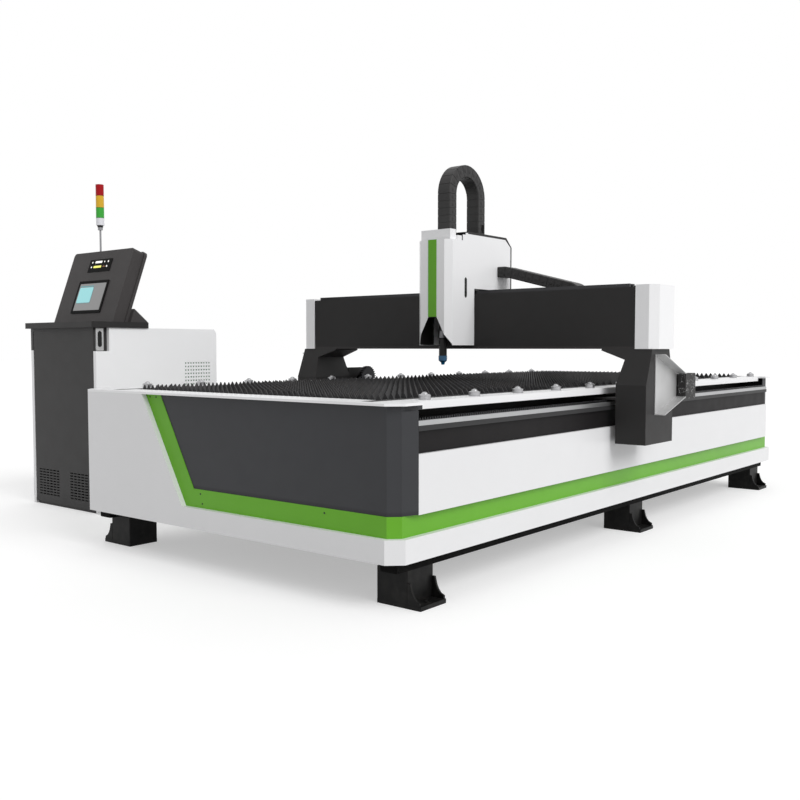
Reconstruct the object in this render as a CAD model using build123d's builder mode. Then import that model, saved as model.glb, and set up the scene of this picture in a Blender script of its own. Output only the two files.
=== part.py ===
from build123d import *
import math
import os

# Plasma cutting table with a moving gantry, a torch carriage and a control cabinet.
# Millimetres, +X to the right, +Y from the front end to the rear end, +Z up.
# The origin is on the floor at the middle of the four corner anchor holes of the feet.

os.makedirs("parts", exist_ok=True)

# Driving dimensions of the bed
bed_width = 2000
bed_length = 4230
half_width = bed_width / 2
half_length = bed_length / 2
corner_x = 57
corner_y = 53
skirt_z = 187
band_low_z = 280
band_high_z = 361
panel_top_z = 588
ledge_z = 673
ledge_thick = 20
bed_top_z = 779
bar_thick = 30
flange_thick = 10
flange_depth = 160
cover_return = 132
sheet = 3
band_recess = 25
cover_sheet = 4
running_gap = 0.3
bore_gap = 0.1
weld_gap = 0.2

# Frame tubes, beams and feet
tube_size = 80
tube_wall = 5
tube_low_z = 144
tube_outer_x = half_width - 50
cross_tube_count = 5
beam_low_z = 560
beam_inner_x = half_width - 170
beam_outer_x = half_width - 15
upper_box_width = 60
beam_wall = 6
frame_end_gap = 65
foot_pitch = half_length - 208
foot_inner_x = half_width - 201
foot_outer_x = half_width + 13
foot_length = 162
foot_plate_thick = 17
foot_web_thick = 10
foot_web_top_x = half_width - 32
foot_web_low_x = half_width + 6
foot_post_x = 120
foot_post_y = 90
anchor_x = half_width - 13
anchor_radius = 9
holder_width = 28
holder_thick = 6
holder_top_z = 700
pan_depth = 95
pan_gap = 20
pan_sheet = 3

# Ball transfer units on the top bars
ball_x = half_width - 110
ball_first_y = 310
ball_last_gap = 140
ball_pitch = 343
ball_count = int((bed_length - ball_first_y - ball_last_gap) / ball_pitch) + 1
cup_radius = 22
cup_height = 20
ball_radius = 15
ball_top_z = 810

# Slats across the cutting field
slat_pitch = 80
slat_end_gap = 190
slat_count = 2 * int((half_length - slat_end_gap) / slat_pitch) + 1
slat_half_span = half_width - 231
slat_thick = 6
slat_tip_z = 800
tooth_depth = 28
tooth_count = 8

# Long drive: rails, racks and pinions
rail_width = 20
rail_height = 18
y_rail_x = half_width - 120
drive_end_gap = 140
rack_width = 26
rack_x = half_width - 30
rack_body = 16.5
gear_module = 5
gear_teeth = 28
pinion_y = -5
pinion_shaft_radius = 12

# Gantry
gantry_front_y = -365
gantry_depth = 205
gantry_half = half_width + 100
gantry_low_z = 975
gantry_top_z = 1282
gantry_wall = 6
cap_length = 110
cap_over_z = 10
cap_over_y = 6
cap_corner = 38
leg_inner_x = half_width + 30
leg_outer_x = half_width + 190
leg_low_z = 505
leg_front_y = -432
leg_length = 322
leg_shoulder_z = 797
leg_neck_x = half_width + 54
leg_neck_z = 921
gusset_x = half_width - 82
shoe_inner_x = half_width - 152
shoe_z = 723
shoe_thick = 10
block_length = 90
block_width = 62
block_low_gap = 6
drive_plate_x = half_width + 40
drive_plate_thick = 10
drive_plate_low_z = 690
motor_size = 130
motor_end_x = half_width + 242
bracket_front_y = -332
bracket_rear_y = -73
bracket_front_low_z = 649
bracket_front_high_z = 949
bracket_rear_low_z = 728
bracket_rear_high_z = 853
bracket_depth = 55
bracket_sheet = 4

# Cross drive on top of the gantry beam
x_rail_front_y = -345
x_rail_rear_y = -180
x_rack_front_y = -318
x_rack_width = 23
x_gear_module = 2.5
x_gear_height = 16
x_block_length = 60
x_block_width = 44
x_block_offset = 62
x_block_height = 34
x_rail_end_gap = 40

# Carriage
carriage_x = 24
carriage_half = 113
carriage_front_y = -606
cover_corner = 33
cover_return_y = -560
cover_low_z = 995
cover_top_z = 1568
carriage_top_z = 1620
carriage_rear_y = 18
rim = 8
rear_slope_y = 59
rear_slope_z = 52
over_beam_z = 1310
hanger_gap = 8
frame_plate = 12
hanger_low_z = 1000
hanger_top_z = 1560
stripe_half = 28
stripe_low_z = 1150
stripe_thick = 1.5
cutout_knee_half = 78
cutout_knee_z = 1056
slot_y = -453
slot_low_z = 1258
slot_high_z = 1367
slot_width = 12
cap_box_half = 98
cap_box_front_y = -577
cap_box_rear_y = -524
cap_box_top_z = 1625
cap_box_low_z = 1500
x_motor_size = 86
x_motor_height = 130

# Torch lifter and torch
actuator_half = 35
actuator_depth = 55
actuator_low_z = 1010
actuator_top_z = 1500
slide_half = 40
slide_thick = 12
slide_low_z = 1100
slide_top_z = 1632
clamp_half = 34
clamp_height = 50
clamp_low_z = 1190
clamp_high_z = 1330
torch_y = -507
torch_radius = 22
torch_low_z = 937
torch_top_z = 1380
torch_neck_radius = 14
torch_neck_height = 22
nozzle_radius = 26.5
nozzle_low_z = 902
tip_radius = 12.5
tip_low_z = 887

# Drag chains
z_chain_width = 84
z_chain_thick = 68
z_bend_y = -331
z_bend_z = 1830
z_bend_radius = 174
x_chain_front_y = -134
x_chain_width = 109
x_chain_thick = 59
x_clamp_low_z = 1387
x_clamp_length = 53
x_bend_x = 587
x_bend_z = 1251
x_bend_radius = 90
x_chain_slope = 14.4
x_chain_fixed_x = 100
tray_sheet = 3
tray_start_x = 60
tray_end_x = half_width + 85
tray_lip = 40

# Control cabinet
cabinet_left_x = -2410
cabinet_width = 710
cabinet_front_y = -1575
cabinet_depth = 900
cabinet_height = 1100
shell_thick = 25
shell_corner = 35
plinth_height = 18
plinth_inset = 12
cabinet_wall = 3
sill = 18
door_thick = 16
door_gap = 1
hinge_pin_radius = 3
hinge_pin_height = 14
notch_depth = 91
notch_low_z = 961
lock_front_y = -1562
lock_width = 50
lock_height = 132
lock_thick = 10
vent_width = 224
vent_height = 7
vent_low_z = 65
vent_pitch_z = 17
vent_rows = 10
vent_centre_gap = 346
dots_front_y = -936
dots_width = 209
dots_height = 11
dots_top_z = 889
dots_pitch_z = 22.3
dots_rows = 10

# Console on the cabinet
desk_front_y = -1606
desk_depth = 394
desk_thick = 35
desk_overhang = 10
console_width = 642
console_front_y = -1436
console_tilt = 19.8
console_height = 481.5
console_depth = 75
console_back_depth = 20
console_back_wider = 8
console_corner = 22
stand_height = 81
stand_half = 195
screen_left = 163
screen_right = 481
screen_low = 63
screen_high = 279
screen_proud = 5
screen_border = 17
indicator_left = 211
indicator_right = 448
indicator_low = 340
indicator_high = 424
indicator_proud = 3

# Tower light
tower_x = -2140
tower_y = -1240
pole_radius = 6
pole_low_z = 1505
pole_top_z = 1727
neck_radius = 15
neck_top_z = 1757
lamp_radius = 25
lens_flats = 24
base_top_z = 1803
lamp_green_top_z = 1868
lamp_amber_top_z = 1943
lamp_red_top_z = 2013

# Sizes worked out from the driving dimensions
front_y = -half_length
end_top_z = bed_top_z - flange_thick
frame_half_y = half_length - frame_end_gap
return_y = front_y + cover_return
ledge_top_z = ledge_z + ledge_thick
flange_rear_y = front_y + flange_depth
drive_half_y = half_length - drive_end_gap
tube_top_z = tube_low_z + tube_size
tube_inner_x = tube_outer_x - tube_size
side_box_inner_x = beam_inner_x - upper_box_width
pinion_radius = gear_module * gear_teeth / 2
pinion_z = ledge_top_z + rack_body + 1.25 * gear_module + pinion_radius
x_pinion_radius = x_gear_module * gear_teeth / 2
gantry_rear_y = gantry_front_y + gantry_depth
x_rack_teeth_y = x_rack_front_y + x_rack_width
x_pinion_y = x_rack_teeth_y + 1.25 * x_gear_module + x_pinion_radius
x_rail_top_z = gantry_top_z + rail_height
frame_plate_z = gantry_top_z + block_low_gap + x_block_height
hanger_rear_y = gantry_front_y - hanger_gap
hanger_front_y = hanger_rear_y - frame_plate
actuator_front_y = hanger_front_y - actuator_depth
slide_rear_y = actuator_front_y - running_gap
slide_front_y = slide_rear_y - slide_thick
cabinet_right_x = cabinet_left_x + cabinet_width
cabinet_rear_y = cabinet_front_y + cabinet_depth
cabinet_mid_x = cabinet_left_x + cabinet_width / 2
body_left_x = cabinet_left_x + shell_thick
body_right_x = cabinet_right_x - shell_thick
hinge_x = body_left_x + door_gap + door_thick / 2
hinge_y = cabinet_front_y + door_thick / 2
desk_top_z = cabinet_height + desk_thick
console_plane = Plane(
    origin=(cabinet_mid_x, console_front_y, desk_top_z),
    x_dir=(1, 0, 0),
    z_dir=(0, -math.cos(math.radians(console_tilt)), math.sin(math.radians(console_tilt))),
)


def block(x0, x1, y0, y1, z0, z1, mode=Mode.ADD):
    """Rectangle from corner to corner, extruded upwards."""
    with BuildSketch(Plane.XY.offset(z0)) as plan:
        with Locations(((x0 + x1) / 2, (y0 + y1) / 2)):
            Rectangle(x1 - x0, y1 - y0)
    extrude(plan.sketch, amount=z1 - z0, mode=mode)


def profile_xz(points, y0, y1, mode=Mode.ADD):
    """Outline in the X-Z plane, extruded from y0 to y1."""
    with BuildSketch(Plane.XZ.offset(-y1)) as outline:
        Polygon(*points, align=None)
    extrude(outline.sketch, amount=y1 - y0, mode=mode)


def profile_yz(points, x0, x1, mode=Mode.ADD):
    """Outline in the Y-Z plane, extruded from x0 to x1."""
    with BuildSketch(Plane.YZ.offset(x0)) as outline:
        Polygon(*points, align=None)
    extrude(outline.sketch, amount=x1 - x0, mode=mode)


def wrap_outline(half, front, back, dx, dy, inset):
    """Plan of a face that turns round two cut corners, moved inwards by inset."""
    turn = math.atan2(dx, dy)
    side_y = front + dy + inset * math.tan(turn / 2)
    face_x = half - dx - inset * math.tan((math.pi / 2 - turn) / 2)
    right = [(half - inset, back), (half - inset, side_y), (face_x, front + inset)]
    left = [(-x, y) for x, y in reversed(right)]
    return right + left


def wrap(half, front, back, dx, dy, inset, thick, z0, z1, centre=0):
    """Folded sheet that turns round two cut corners."""
    with BuildSketch(Plane.XY.offset(z0)) as plan:
        with Locations((centre, 0)):
            Polygon(*wrap_outline(half, front, back, dx, dy, inset), align=None)
            inner = wrap_outline(half, front, back, dx, dy, inset + thick)
            Polygon(*inner, align=None, mode=Mode.SUBTRACT)
    extrude(plan.sketch, amount=z1 - z0)


def bed_wrap(inset, thick, z0, z1):
    """Folded sheet round the front end of the bed."""
    wrap(half_width, front_y, return_y, corner_x, corner_y, inset, thick, z0, z1)


def gear_points(module, teeth):
    """Outline of a spur gear with straight tooth flanks, one space facing -Y."""
    points = []
    radius = module * teeth / 2
    for index in range(teeth):
        middle = -90 + (index + 0.5) * 360 / teeth
        for part, reach in ((-0.3, -1.2), (-0.13, 1), (0.13, 1), (0.3, -1.2)):
            angle = math.radians(middle + part * 360 / teeth)
            tip = radius + reach * module
            points.append((tip * math.cos(angle), tip * math.sin(angle)))
    return points


def finish(part, name):
    """Label the sub-part and write it."""
    part.part.label = name
    export_step(part.part, f"parts/{name}.step")


# Lower frame: two long tubes, cross tubes between them, posts up to the side beams
def tube_section(x, y):
    """Square tube section round a point of the current sketch."""
    with Locations((x, y)):
        Rectangle(tube_size, tube_size)
        Rectangle(tube_size - 2 * tube_wall, tube_size - 2 * tube_wall, mode=Mode.SUBTRACT)


tube_middle_x = tube_outer_x - tube_size / 2
tube_middle_z = tube_low_z + tube_size / 2
cross_half = tube_inner_x - weld_gap
cross_pitch = foot_pitch * 2 / (cross_tube_count - 1)
cross_places = [-foot_pitch + index * cross_pitch for index in range(cross_tube_count)]
with BuildPart() as bed_frame:
    with BuildSketch(Plane.XZ.offset(-frame_half_y)):
        for side in (-1, 1):
            tube_section(side * tube_middle_x, tube_middle_z)
    extrude(amount=2 * frame_half_y)
    with BuildSketch(Plane.YZ.offset(-cross_half)):
        for y in cross_places:
            tube_section(y, tube_middle_z)
    extrude(amount=2 * cross_half)
    with BuildSketch(Plane.XY.offset(tube_top_z + weld_gap)):
        for y in cross_places:
            for side in (-1, 1):
                tube_section(side * tube_middle_x, y)
    extrude(amount=beam_low_z - tube_top_z - weld_gap)
finish(bed_frame, "bed_frame")

# Side beams: a low wide box with a tall narrow box inside it, and the bar that carries the slats
with BuildPart() as side_beams:
    profile_xz(
        [
            (side_box_inner_x, beam_low_z),
            (beam_outer_x, beam_low_z),
            (beam_outer_x, ledge_z),
            (beam_inner_x, ledge_z),
            (beam_inner_x, bed_top_z),
            (side_box_inner_x, bed_top_z),
        ],
        -frame_half_y,
        frame_half_y,
    )
    block(
        side_box_inner_x + beam_wall, beam_inner_x - beam_wall, -frame_half_y, frame_half_y,
        beam_low_z + beam_wall, bed_top_z - beam_wall, Mode.SUBTRACT,
    )
    block(
        beam_inner_x, beam_outer_x - beam_wall, -frame_half_y, frame_half_y,
        beam_low_z + beam_wall, ledge_z - beam_wall, Mode.SUBTRACT,
    )
    for end in (-1, 1):
        low_box_end = -end * return_y
        block(
            beam_inner_x, beam_outer_x, min(low_box_end, end * frame_half_y),
            max(low_box_end, end * frame_half_y), beam_low_z, ledge_z, Mode.SUBTRACT,
        )
    holder_inner_x = side_box_inner_x - holder_width
    block(
        holder_inner_x, side_box_inner_x, -frame_half_y, frame_half_y,
        holder_top_z - holder_thick, holder_top_z,
    )
    mirror(about=Plane.YZ)
finish(side_beams, "side_beams")

# Ledges that carry the rails and racks
with BuildPart() as ledges:
    block(beam_inner_x, half_width, return_y, -return_y, ledge_z, ledge_top_z)
    mirror(about=Plane.YZ)
finish(ledges, "ledges")

# Top frame: side bars with the ball units, and a flange over each end
with BuildPart() as top_frame:
    for side in (-1, 1):
        inner = side * beam_inner_x
        outer = side * tube_outer_x
        block(
            min(inner, outer), max(inner, outer),
            flange_rear_y + weld_gap, -flange_rear_y - weld_gap,
            bed_top_z - bar_thick, bed_top_z,
        )
    outline = wrap_outline(half_width, front_y, flange_rear_y, corner_x, corner_y, 0)
    with BuildSketch(Plane.XY.offset(end_top_z)):
        Polygon(*outline, align=None)
        for side in (-1, 1):
            box_middle = side * (side_box_inner_x + upper_box_width / 2)
            with Locations((box_middle, (flange_rear_y - frame_half_y) / 2)):
                Rectangle(upper_box_width, flange_rear_y + frame_half_y, mode=Mode.SUBTRACT)
        mirror(about=Plane.XZ)
    extrude(amount=flange_thick)
finish(top_frame, "top_frame")

# Dark end covers: folded sheets that turn round the corners of the bed
with BuildPart() as end_covers:
    bed_wrap(band_recess + sheet, cover_sheet, skirt_z, end_top_z)
    mirror(about=Plane.XZ)
finish(end_covers, "end_covers")

# Slanted border on the end face: white outside it, green inside it
slant_top_outer_x = -511
slant_low_outer_x = -226
slant_top_inner_x = -403
slant_low_inner_x = -174
slant_lean = (slant_low_outer_x - slant_top_outer_x) / (end_top_z - band_low_z)
slant_fold = sheet / math.cos(math.atan(slant_lean))


def white_border(step):
    """White part of the end face above the band, pulled back from the slant by step."""
    return [
        (-half_width - 1, band_low_z),
        (slant_low_outer_x - step, band_low_z),
        (slant_top_outer_x - step, end_top_z),
        (-half_width - 1, end_top_z),
    ]


# White end panels: a skirt round each end with a fold along its top and bottom edge, and a tall
# plate on the left part with a fold along its slanted edge
with BuildPart() as tall_plate:
    bed_wrap(0, sheet, band_low_z, end_top_z)
    profile_xz(white_border(0), front_y, return_y, Mode.INTERSECT)

with BuildPart() as slanted_fold:
    bed_wrap(0, band_recess + sheet, band_low_z, end_top_z)
    profile_xz(white_border(0), front_y, return_y, Mode.INTERSECT)
    profile_xz(white_border(slant_fold), front_y, return_y, Mode.SUBTRACT)

with BuildPart() as end_panels:
    bed_wrap(0, sheet, skirt_z, band_low_z)
    bed_wrap(0, band_recess + sheet, skirt_z, skirt_z + sheet)
    bed_wrap(0, band_recess + sheet, band_low_z - sheet, band_low_z)
    add(tall_plate.part)
    add(slanted_fold.part)
    mirror(about=Plane.XZ)
finish(end_panels, "end_panels")

# Green band: round both ends, along both sides and up the slanted border
green_border = [
    (slant_low_outer_x, band_low_z),
    (slant_low_inner_x, band_high_z),
    (slant_top_inner_x, end_top_z),
    (slant_top_outer_x, end_top_z),
]
with BuildPart() as border_strip:
    bed_wrap(band_recess, sheet, band_high_z, end_top_z)
    profile_xz(green_border, front_y, return_y, Mode.INTERSECT)

with BuildPart() as green_bands:
    bed_wrap(band_recess, sheet, band_low_z, band_high_z)
    profile_xz(white_border(0), front_y, return_y, Mode.SUBTRACT)
    add(border_strip.part)
    mirror(about=Plane.XZ)
    for side in (-1, 1):
        inner = side * (half_width - band_recess - sheet)
        outer = side * (half_width - band_recess)
        block(
            min(inner, outer), max(inner, outer), return_y, -return_y,
            band_low_z, band_high_z,
        )
finish(green_bands, "green_bands")

# White side panels: one folded sheet a side, stepped in behind the green band
with BuildPart() as side_panels:
    step = half_width - band_recess - sheet
    profile_xz(
        [
            (half_width, skirt_z),
            (half_width, band_low_z),
            (step, band_low_z),
            (step, band_high_z),
            (half_width, band_high_z),
            (half_width, panel_top_z),
            (beam_outer_x, panel_top_z),
            (beam_outer_x, panel_top_z - sheet),
            (half_width - sheet, panel_top_z - sheet),
            (half_width - sheet, band_high_z + sheet),
            (step - sheet, band_high_z + sheet),
            (step - sheet, band_low_z - sheet),
            (half_width - sheet, band_low_z - sheet),
            (half_width - sheet, skirt_z + sheet),
            (tube_outer_x, skirt_z + sheet),
            (tube_outer_x, skirt_z),
        ],
        return_y,
        -return_y,
    )
    mirror(about=Plane.YZ)
finish(side_panels, "side_panels")

# Feet: base plate with an anchor hole, two curved webs and a post under the long tube
with BuildPart() as feet:
    for row in (-1, 0, 1):
        y = row * foot_pitch
        block(
            foot_inner_x, foot_outer_x, y - foot_length / 2, y + foot_length / 2,
            0, foot_plate_thick,
        )
        for end in (-1, 1):
            web_y = y + end * (foot_length - foot_web_thick) / 2
            with BuildSketch(Plane.XZ.offset(-web_y - foot_web_thick / 2)):
                with BuildLine():
                    Polyline(
                        (foot_web_low_x, foot_plate_thick),
                        (foot_inner_x, foot_plate_thick),
                        (foot_inner_x, tube_low_z),
                        (foot_web_top_x, tube_low_z),
                    )
                    Polyline(
                        (foot_web_top_x, tube_low_z),
                        (foot_web_top_x + 3, tube_low_z * 0.6),
                        (foot_web_top_x + 13, tube_low_z * 0.3),
                        (foot_web_low_x, foot_plate_thick),
                    )
                make_face()
            extrude(amount=foot_web_thick)
        post_middle = tube_outer_x - foot_post_x / 2
        block(
            post_middle - foot_post_x / 2, post_middle + foot_post_x / 2,
            y - foot_post_y / 2, y + foot_post_y / 2, foot_plate_thick, tube_low_z,
        )
        with Locations((anchor_x, y, foot_plate_thick)):
            Hole(radius=anchor_radius)
    mirror(about=Plane.YZ)
finish(feet, "feet")

# Linear rails along the bed
with BuildPart() as y_rails:
    block(
        y_rail_x - rail_width / 2, y_rail_x + rail_width / 2, -drive_half_y, drive_half_y,
        ledge_top_z, ledge_top_z + rail_height,
    )
    mirror(about=Plane.YZ)
finish(y_rails, "y_rails")

# Rack bars along the bed, up to the root line of the teeth
with BuildPart() as y_racks:
    block(
        rack_x - rack_width / 2, rack_x + rack_width / 2, -drive_half_y, drive_half_y,
        ledge_top_z, ledge_top_z + rack_body,
    )
    mirror(about=Plane.YZ)
finish(y_racks, "y_racks")

# Toothed slats, standing on the bars of the side beams
tooth_pitch = 2 * slat_half_span / tooth_count
slat_outline = [(slat_half_span, holder_top_z), (-slat_half_span, holder_top_z)]
for index in range(tooth_count):
    left = -slat_half_span + index * tooth_pitch
    slat_outline.append((left, slat_tip_z - tooth_depth))
    slat_outline.append((left + tooth_pitch / 2, slat_tip_z))
slat_outline.append((slat_half_span, slat_tip_z - tooth_depth))
with BuildPart() as slats:
    slat_middle = (slat_count - 1) / 2
    for index in range(slat_count):
        y = (index - slat_middle) * slat_pitch
        profile_xz(slat_outline, y - slat_thick / 2, y + slat_thick / 2)
finish(slats, "slats")

# Slag pans: open sheet boxes that rest on the cross tubes
with BuildPart() as slag_pans:
    for index in range(cross_tube_count - 1):
        y0 = -foot_pitch + index * cross_pitch + pan_gap / 2
        y1 = y0 + cross_pitch - pan_gap
        block(-holder_inner_x, holder_inner_x, y0, y1, tube_top_z, tube_top_z + pan_depth)
        block(
            -holder_inner_x + pan_sheet, holder_inner_x - pan_sheet, y0 + pan_sheet, y1 - pan_sheet,
            tube_top_z + pan_sheet, tube_top_z + pan_depth, Mode.SUBTRACT,
        )
finish(slag_pans, "slag_pans")

# Ball transfer units: eight-sided cups screwed on the bars, each with a steel ball in it
ball_places = []
for index in range(ball_count):
    for side in (-1, 1):
        ball_places.append((side * ball_x, front_y + ball_first_y + index * ball_pitch))
ball_centre_z = ball_top_z - ball_radius
cup_top_z = bed_top_z + cup_height
with BuildPart() as ball_cups:
    with BuildSketch(Plane.XY.offset(bed_top_z)):
        with Locations(*ball_places):
            RegularPolygon(radius=cup_radius, side_count=8)
    extrude(amount=cup_height)
finish(ball_cups, "ball_cups")

with BuildPart() as one_ball:
    for z in (cup_top_z, ball_top_z - ball_radius * 0.27, ball_top_z):
        ring_radius = max(math.sqrt(ball_radius**2 - (z - ball_centre_z) ** 2), ball_radius * 0.22)
        with BuildSketch(Plane.XY.offset(z)):
            RegularPolygon(radius=ring_radius, side_count=10)
    loft(ruled=True)

with BuildPart() as balls:
    with Locations(*[(x, y, 0) for x, y in ball_places]):
        add(one_ball.part)
finish(balls, "balls")

# Gantry beam: a box section across the bed
with BuildPart() as gantry_beam:
    block(
        -gantry_half, gantry_half, gantry_front_y, gantry_rear_y, gantry_low_z, gantry_top_z,
    )
    block(
        -gantry_half, gantry_half, gantry_front_y + gantry_wall, gantry_rear_y - gantry_wall,
        gantry_low_z + gantry_wall, gantry_top_z - gantry_wall, Mode.SUBTRACT,
    )
finish(gantry_beam, "gantry_beam")

# White end caps with a cut front corner
cap_front_y = gantry_front_y - cap_over_y
cap_rear_y = gantry_rear_y + cap_over_y
cap_outer_x = gantry_half + cap_length
with BuildPart() as beam_end_caps:
    with BuildSketch(Plane.XY.offset(gantry_low_z)):
        Polygon(
            (gantry_half, cap_front_y),
            (cap_outer_x - cap_corner, cap_front_y),
            (cap_outer_x, cap_front_y + cap_corner),
            (cap_outer_x, cap_rear_y),
            (gantry_half, cap_rear_y),
            align=None,
        )
    extrude(amount=gantry_top_z - gantry_low_z + cap_over_z)
    mirror(about=Plane.YZ)
finish(beam_end_caps, "beam_end_caps")

# Gantry legs: welded boxes with a shoe over the rail and a plate for the drive motor
leg_rear_y = leg_front_y + leg_length
motor_low_z = pinion_z - motor_size / 2
motor_high_z = pinion_z + motor_size / 2
motor_rear_y = pinion_y + motor_size / 2
with BuildPart() as gantry_legs:
    profile_xz(
        [
            (leg_inner_x, leg_low_z),
            (leg_outer_x, leg_low_z),
            (leg_outer_x, gantry_low_z),
            (gusset_x, gantry_low_z),
            (gusset_x, gantry_low_z - 8),
            (leg_neck_x, leg_neck_z),
            (leg_inner_x, leg_shoulder_z),
        ],
        leg_front_y,
        leg_rear_y,
    )
    profile_yz(
        [
            (leg_front_y, leg_low_z),
            (leg_rear_y, leg_low_z),
            (leg_rear_y, leg_shoulder_z),
            (gantry_rear_y, gantry_low_z),
            (gantry_front_y, gantry_low_z),
            (leg_front_y, leg_shoulder_z),
        ],
        gusset_x,
        leg_outer_x,
        Mode.INTERSECT,
    )
    block(shoe_inner_x, leg_inner_x, leg_front_y, leg_rear_y, shoe_z, shoe_z + shoe_thick)
    block(
        drive_plate_x, drive_plate_x + drive_plate_thick, leg_rear_y, motor_rear_y,
        drive_plate_low_z, motor_high_z,
    )
    with BuildSketch(Plane.YZ.offset(drive_plate_x)):
        with Locations((pinion_y, pinion_z)):
            Circle(pinion_shaft_radius + 8)
    extrude(amount=drive_plate_thick, mode=Mode.SUBTRACT)
    mirror(about=Plane.YZ)
finish(gantry_legs, "gantry_legs")

# Bearing blocks under the shoes, two on each rail
rail_clear = rail_width / 2 + running_gap
block_low_z = ledge_top_z + block_low_gap
with BuildPart() as y_bearing_blocks:
    for y in (leg_front_y + 10, leg_rear_y - 10 - block_length):
        profile_xz(
            [
                (y_rail_x - block_width / 2, block_low_z),
                (y_rail_x - rail_clear, block_low_z),
                (y_rail_x - rail_clear, ledge_top_z + rail_height + running_gap),
                (y_rail_x + rail_clear, ledge_top_z + rail_height + running_gap),
                (y_rail_x + rail_clear, block_low_z),
                (y_rail_x + block_width / 2, block_low_z),
                (y_rail_x + block_width / 2, shoe_z),
                (y_rail_x - block_width / 2, shoe_z),
            ],
            y,
            y + block_length,
        )
    mirror(about=Plane.YZ)
finish(y_bearing_blocks, "y_bearing_blocks")

# Folded trays on the outer faces of the legs, open at the front and rear
with BuildPart() as drive_brackets:
    profile_yz(
        [
            (bracket_front_y, bracket_front_low_z),
            (bracket_rear_y, bracket_rear_low_z),
            (bracket_rear_y, bracket_rear_high_z),
            (bracket_front_y, bracket_front_high_z),
        ],
        leg_outer_x,
        leg_outer_x + bracket_depth,
    )
    bracket_run = bracket_rear_y - bracket_front_y
    low_fold = bracket_sheet * math.hypot(bracket_run, bracket_rear_low_z - bracket_front_low_z) / bracket_run
    high_fold = bracket_sheet * math.hypot(bracket_run, bracket_front_high_z - bracket_rear_high_z) / bracket_run
    profile_yz(
        [
            (bracket_front_y, bracket_front_low_z + low_fold),
            (bracket_rear_y, bracket_rear_low_z + low_fold),
            (bracket_rear_y, bracket_rear_high_z - high_fold),
            (bracket_front_y, bracket_front_high_z - high_fold),
        ],
        leg_outer_x + bracket_sheet,
        leg_outer_x + bracket_depth,
        Mode.SUBTRACT,
    )
    mirror(about=Plane.YZ)
finish(drive_brackets, "drive_brackets")

# Drive motors on the plates behind the legs, with a bore for the pinion shaft
def motor_flange(size):
    """Square motor section with cut corners."""
    half = size / 2
    cut = size * 0.05
    corners = []
    for x, y in ((1, 1), (-1, 1), (-1, -1), (1, -1)):
        pair = [(x * half, y * (half - cut)), (x * (half - cut), y * half)]
        corners += pair if x == y else pair[::-1]
    Polygon(*corners, align=None)


motor_face_x = drive_plate_x + drive_plate_thick
with BuildPart() as y_motors:
    with BuildSketch(Plane.YZ.offset(motor_face_x)):
        with Locations((pinion_y, pinion_z)):
            motor_flange(motor_size)
            Circle(pinion_shaft_radius + bore_gap, mode=Mode.SUBTRACT)
    extrude(amount=30)
    with BuildSketch(Plane.YZ.offset(motor_face_x + 30)):
        with Locations((pinion_y, pinion_z)):
            Rectangle(motor_size - 12, motor_size - 12)
    extrude(amount=motor_end_x - 40 - motor_face_x - 30)
    with BuildSketch(Plane.YZ.offset(motor_end_x - 40)):
        with Locations((pinion_y, pinion_z)):
            motor_flange(motor_size)
    extrude(amount=40)
    mirror(about=Plane.YZ)
finish(y_motors, "y_motors")


def y_pinion(name, side):
    """Spur gear on its shaft, with its axis along X."""
    with BuildPart() as pinion:
        face = Plane(origin=(side * rack_x, pinion_y, pinion_z), x_dir=(0, 1, 0), z_dir=(side, 0, 0))
        if side < 0:
            face = Plane(origin=(-rack_x, pinion_y, pinion_z), x_dir=(0, -1, 0), z_dir=(-1, 0, 0))
        with BuildSketch(face.offset(-rack_width / 2)):
            Polygon(*gear_points(gear_module, gear_teeth), align=None)
        extrude(amount=rack_width)
        with BuildSketch(face.offset(rack_width / 2)):
            Circle(pinion_shaft_radius)
        extrude(amount=motor_face_x + 25 - rack_x - rack_width / 2)
    finish(pinion, name)


y_pinion("y_pinion_left", -1)
y_pinion("y_pinion_right", 1)

# Cross rails and the rack bar on top of the beam
x_rail_half = gantry_half - x_rail_end_gap
with BuildPart() as x_rails:
    for y in (x_rail_front_y, x_rail_rear_y):
        block(
            -x_rail_half, x_rail_half, y - rail_width / 2, y + rail_width / 2,
            gantry_top_z, x_rail_top_z,
        )
finish(x_rails, "x_rails")

with BuildPart() as x_rack:
    block(
        -x_rail_half, x_rail_half, x_rack_front_y, x_rack_teeth_y,
        gantry_top_z, gantry_top_z + x_gear_height + 2,
    )
finish(x_rack, "x_rack")

# Carriage frame: a base plate over the beam and a hanger plate in front of it
with BuildPart() as carriage_frame:
    profile_yz(
        [
            (hanger_front_y, hanger_low_z),
            (hanger_rear_y, hanger_low_z),
            (hanger_rear_y, frame_plate_z),
            (carriage_rear_y - rim - sheet, frame_plate_z),
            (carriage_rear_y - rim - sheet, frame_plate_z + frame_plate),
            (hanger_rear_y, frame_plate_z + frame_plate),
            (hanger_rear_y, hanger_top_z),
            (hanger_front_y, hanger_top_z),
        ],
        carriage_x - carriage_half + sheet,
        carriage_x + carriage_half - sheet,
    )
    with BuildSketch(Plane.XY.offset(frame_plate_z)):
        with Locations((carriage_x, x_pinion_y)):
            Circle(pinion_shaft_radius + 4)
    extrude(amount=frame_plate, mode=Mode.SUBTRACT)
finish(carriage_frame, "carriage_frame")

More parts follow.
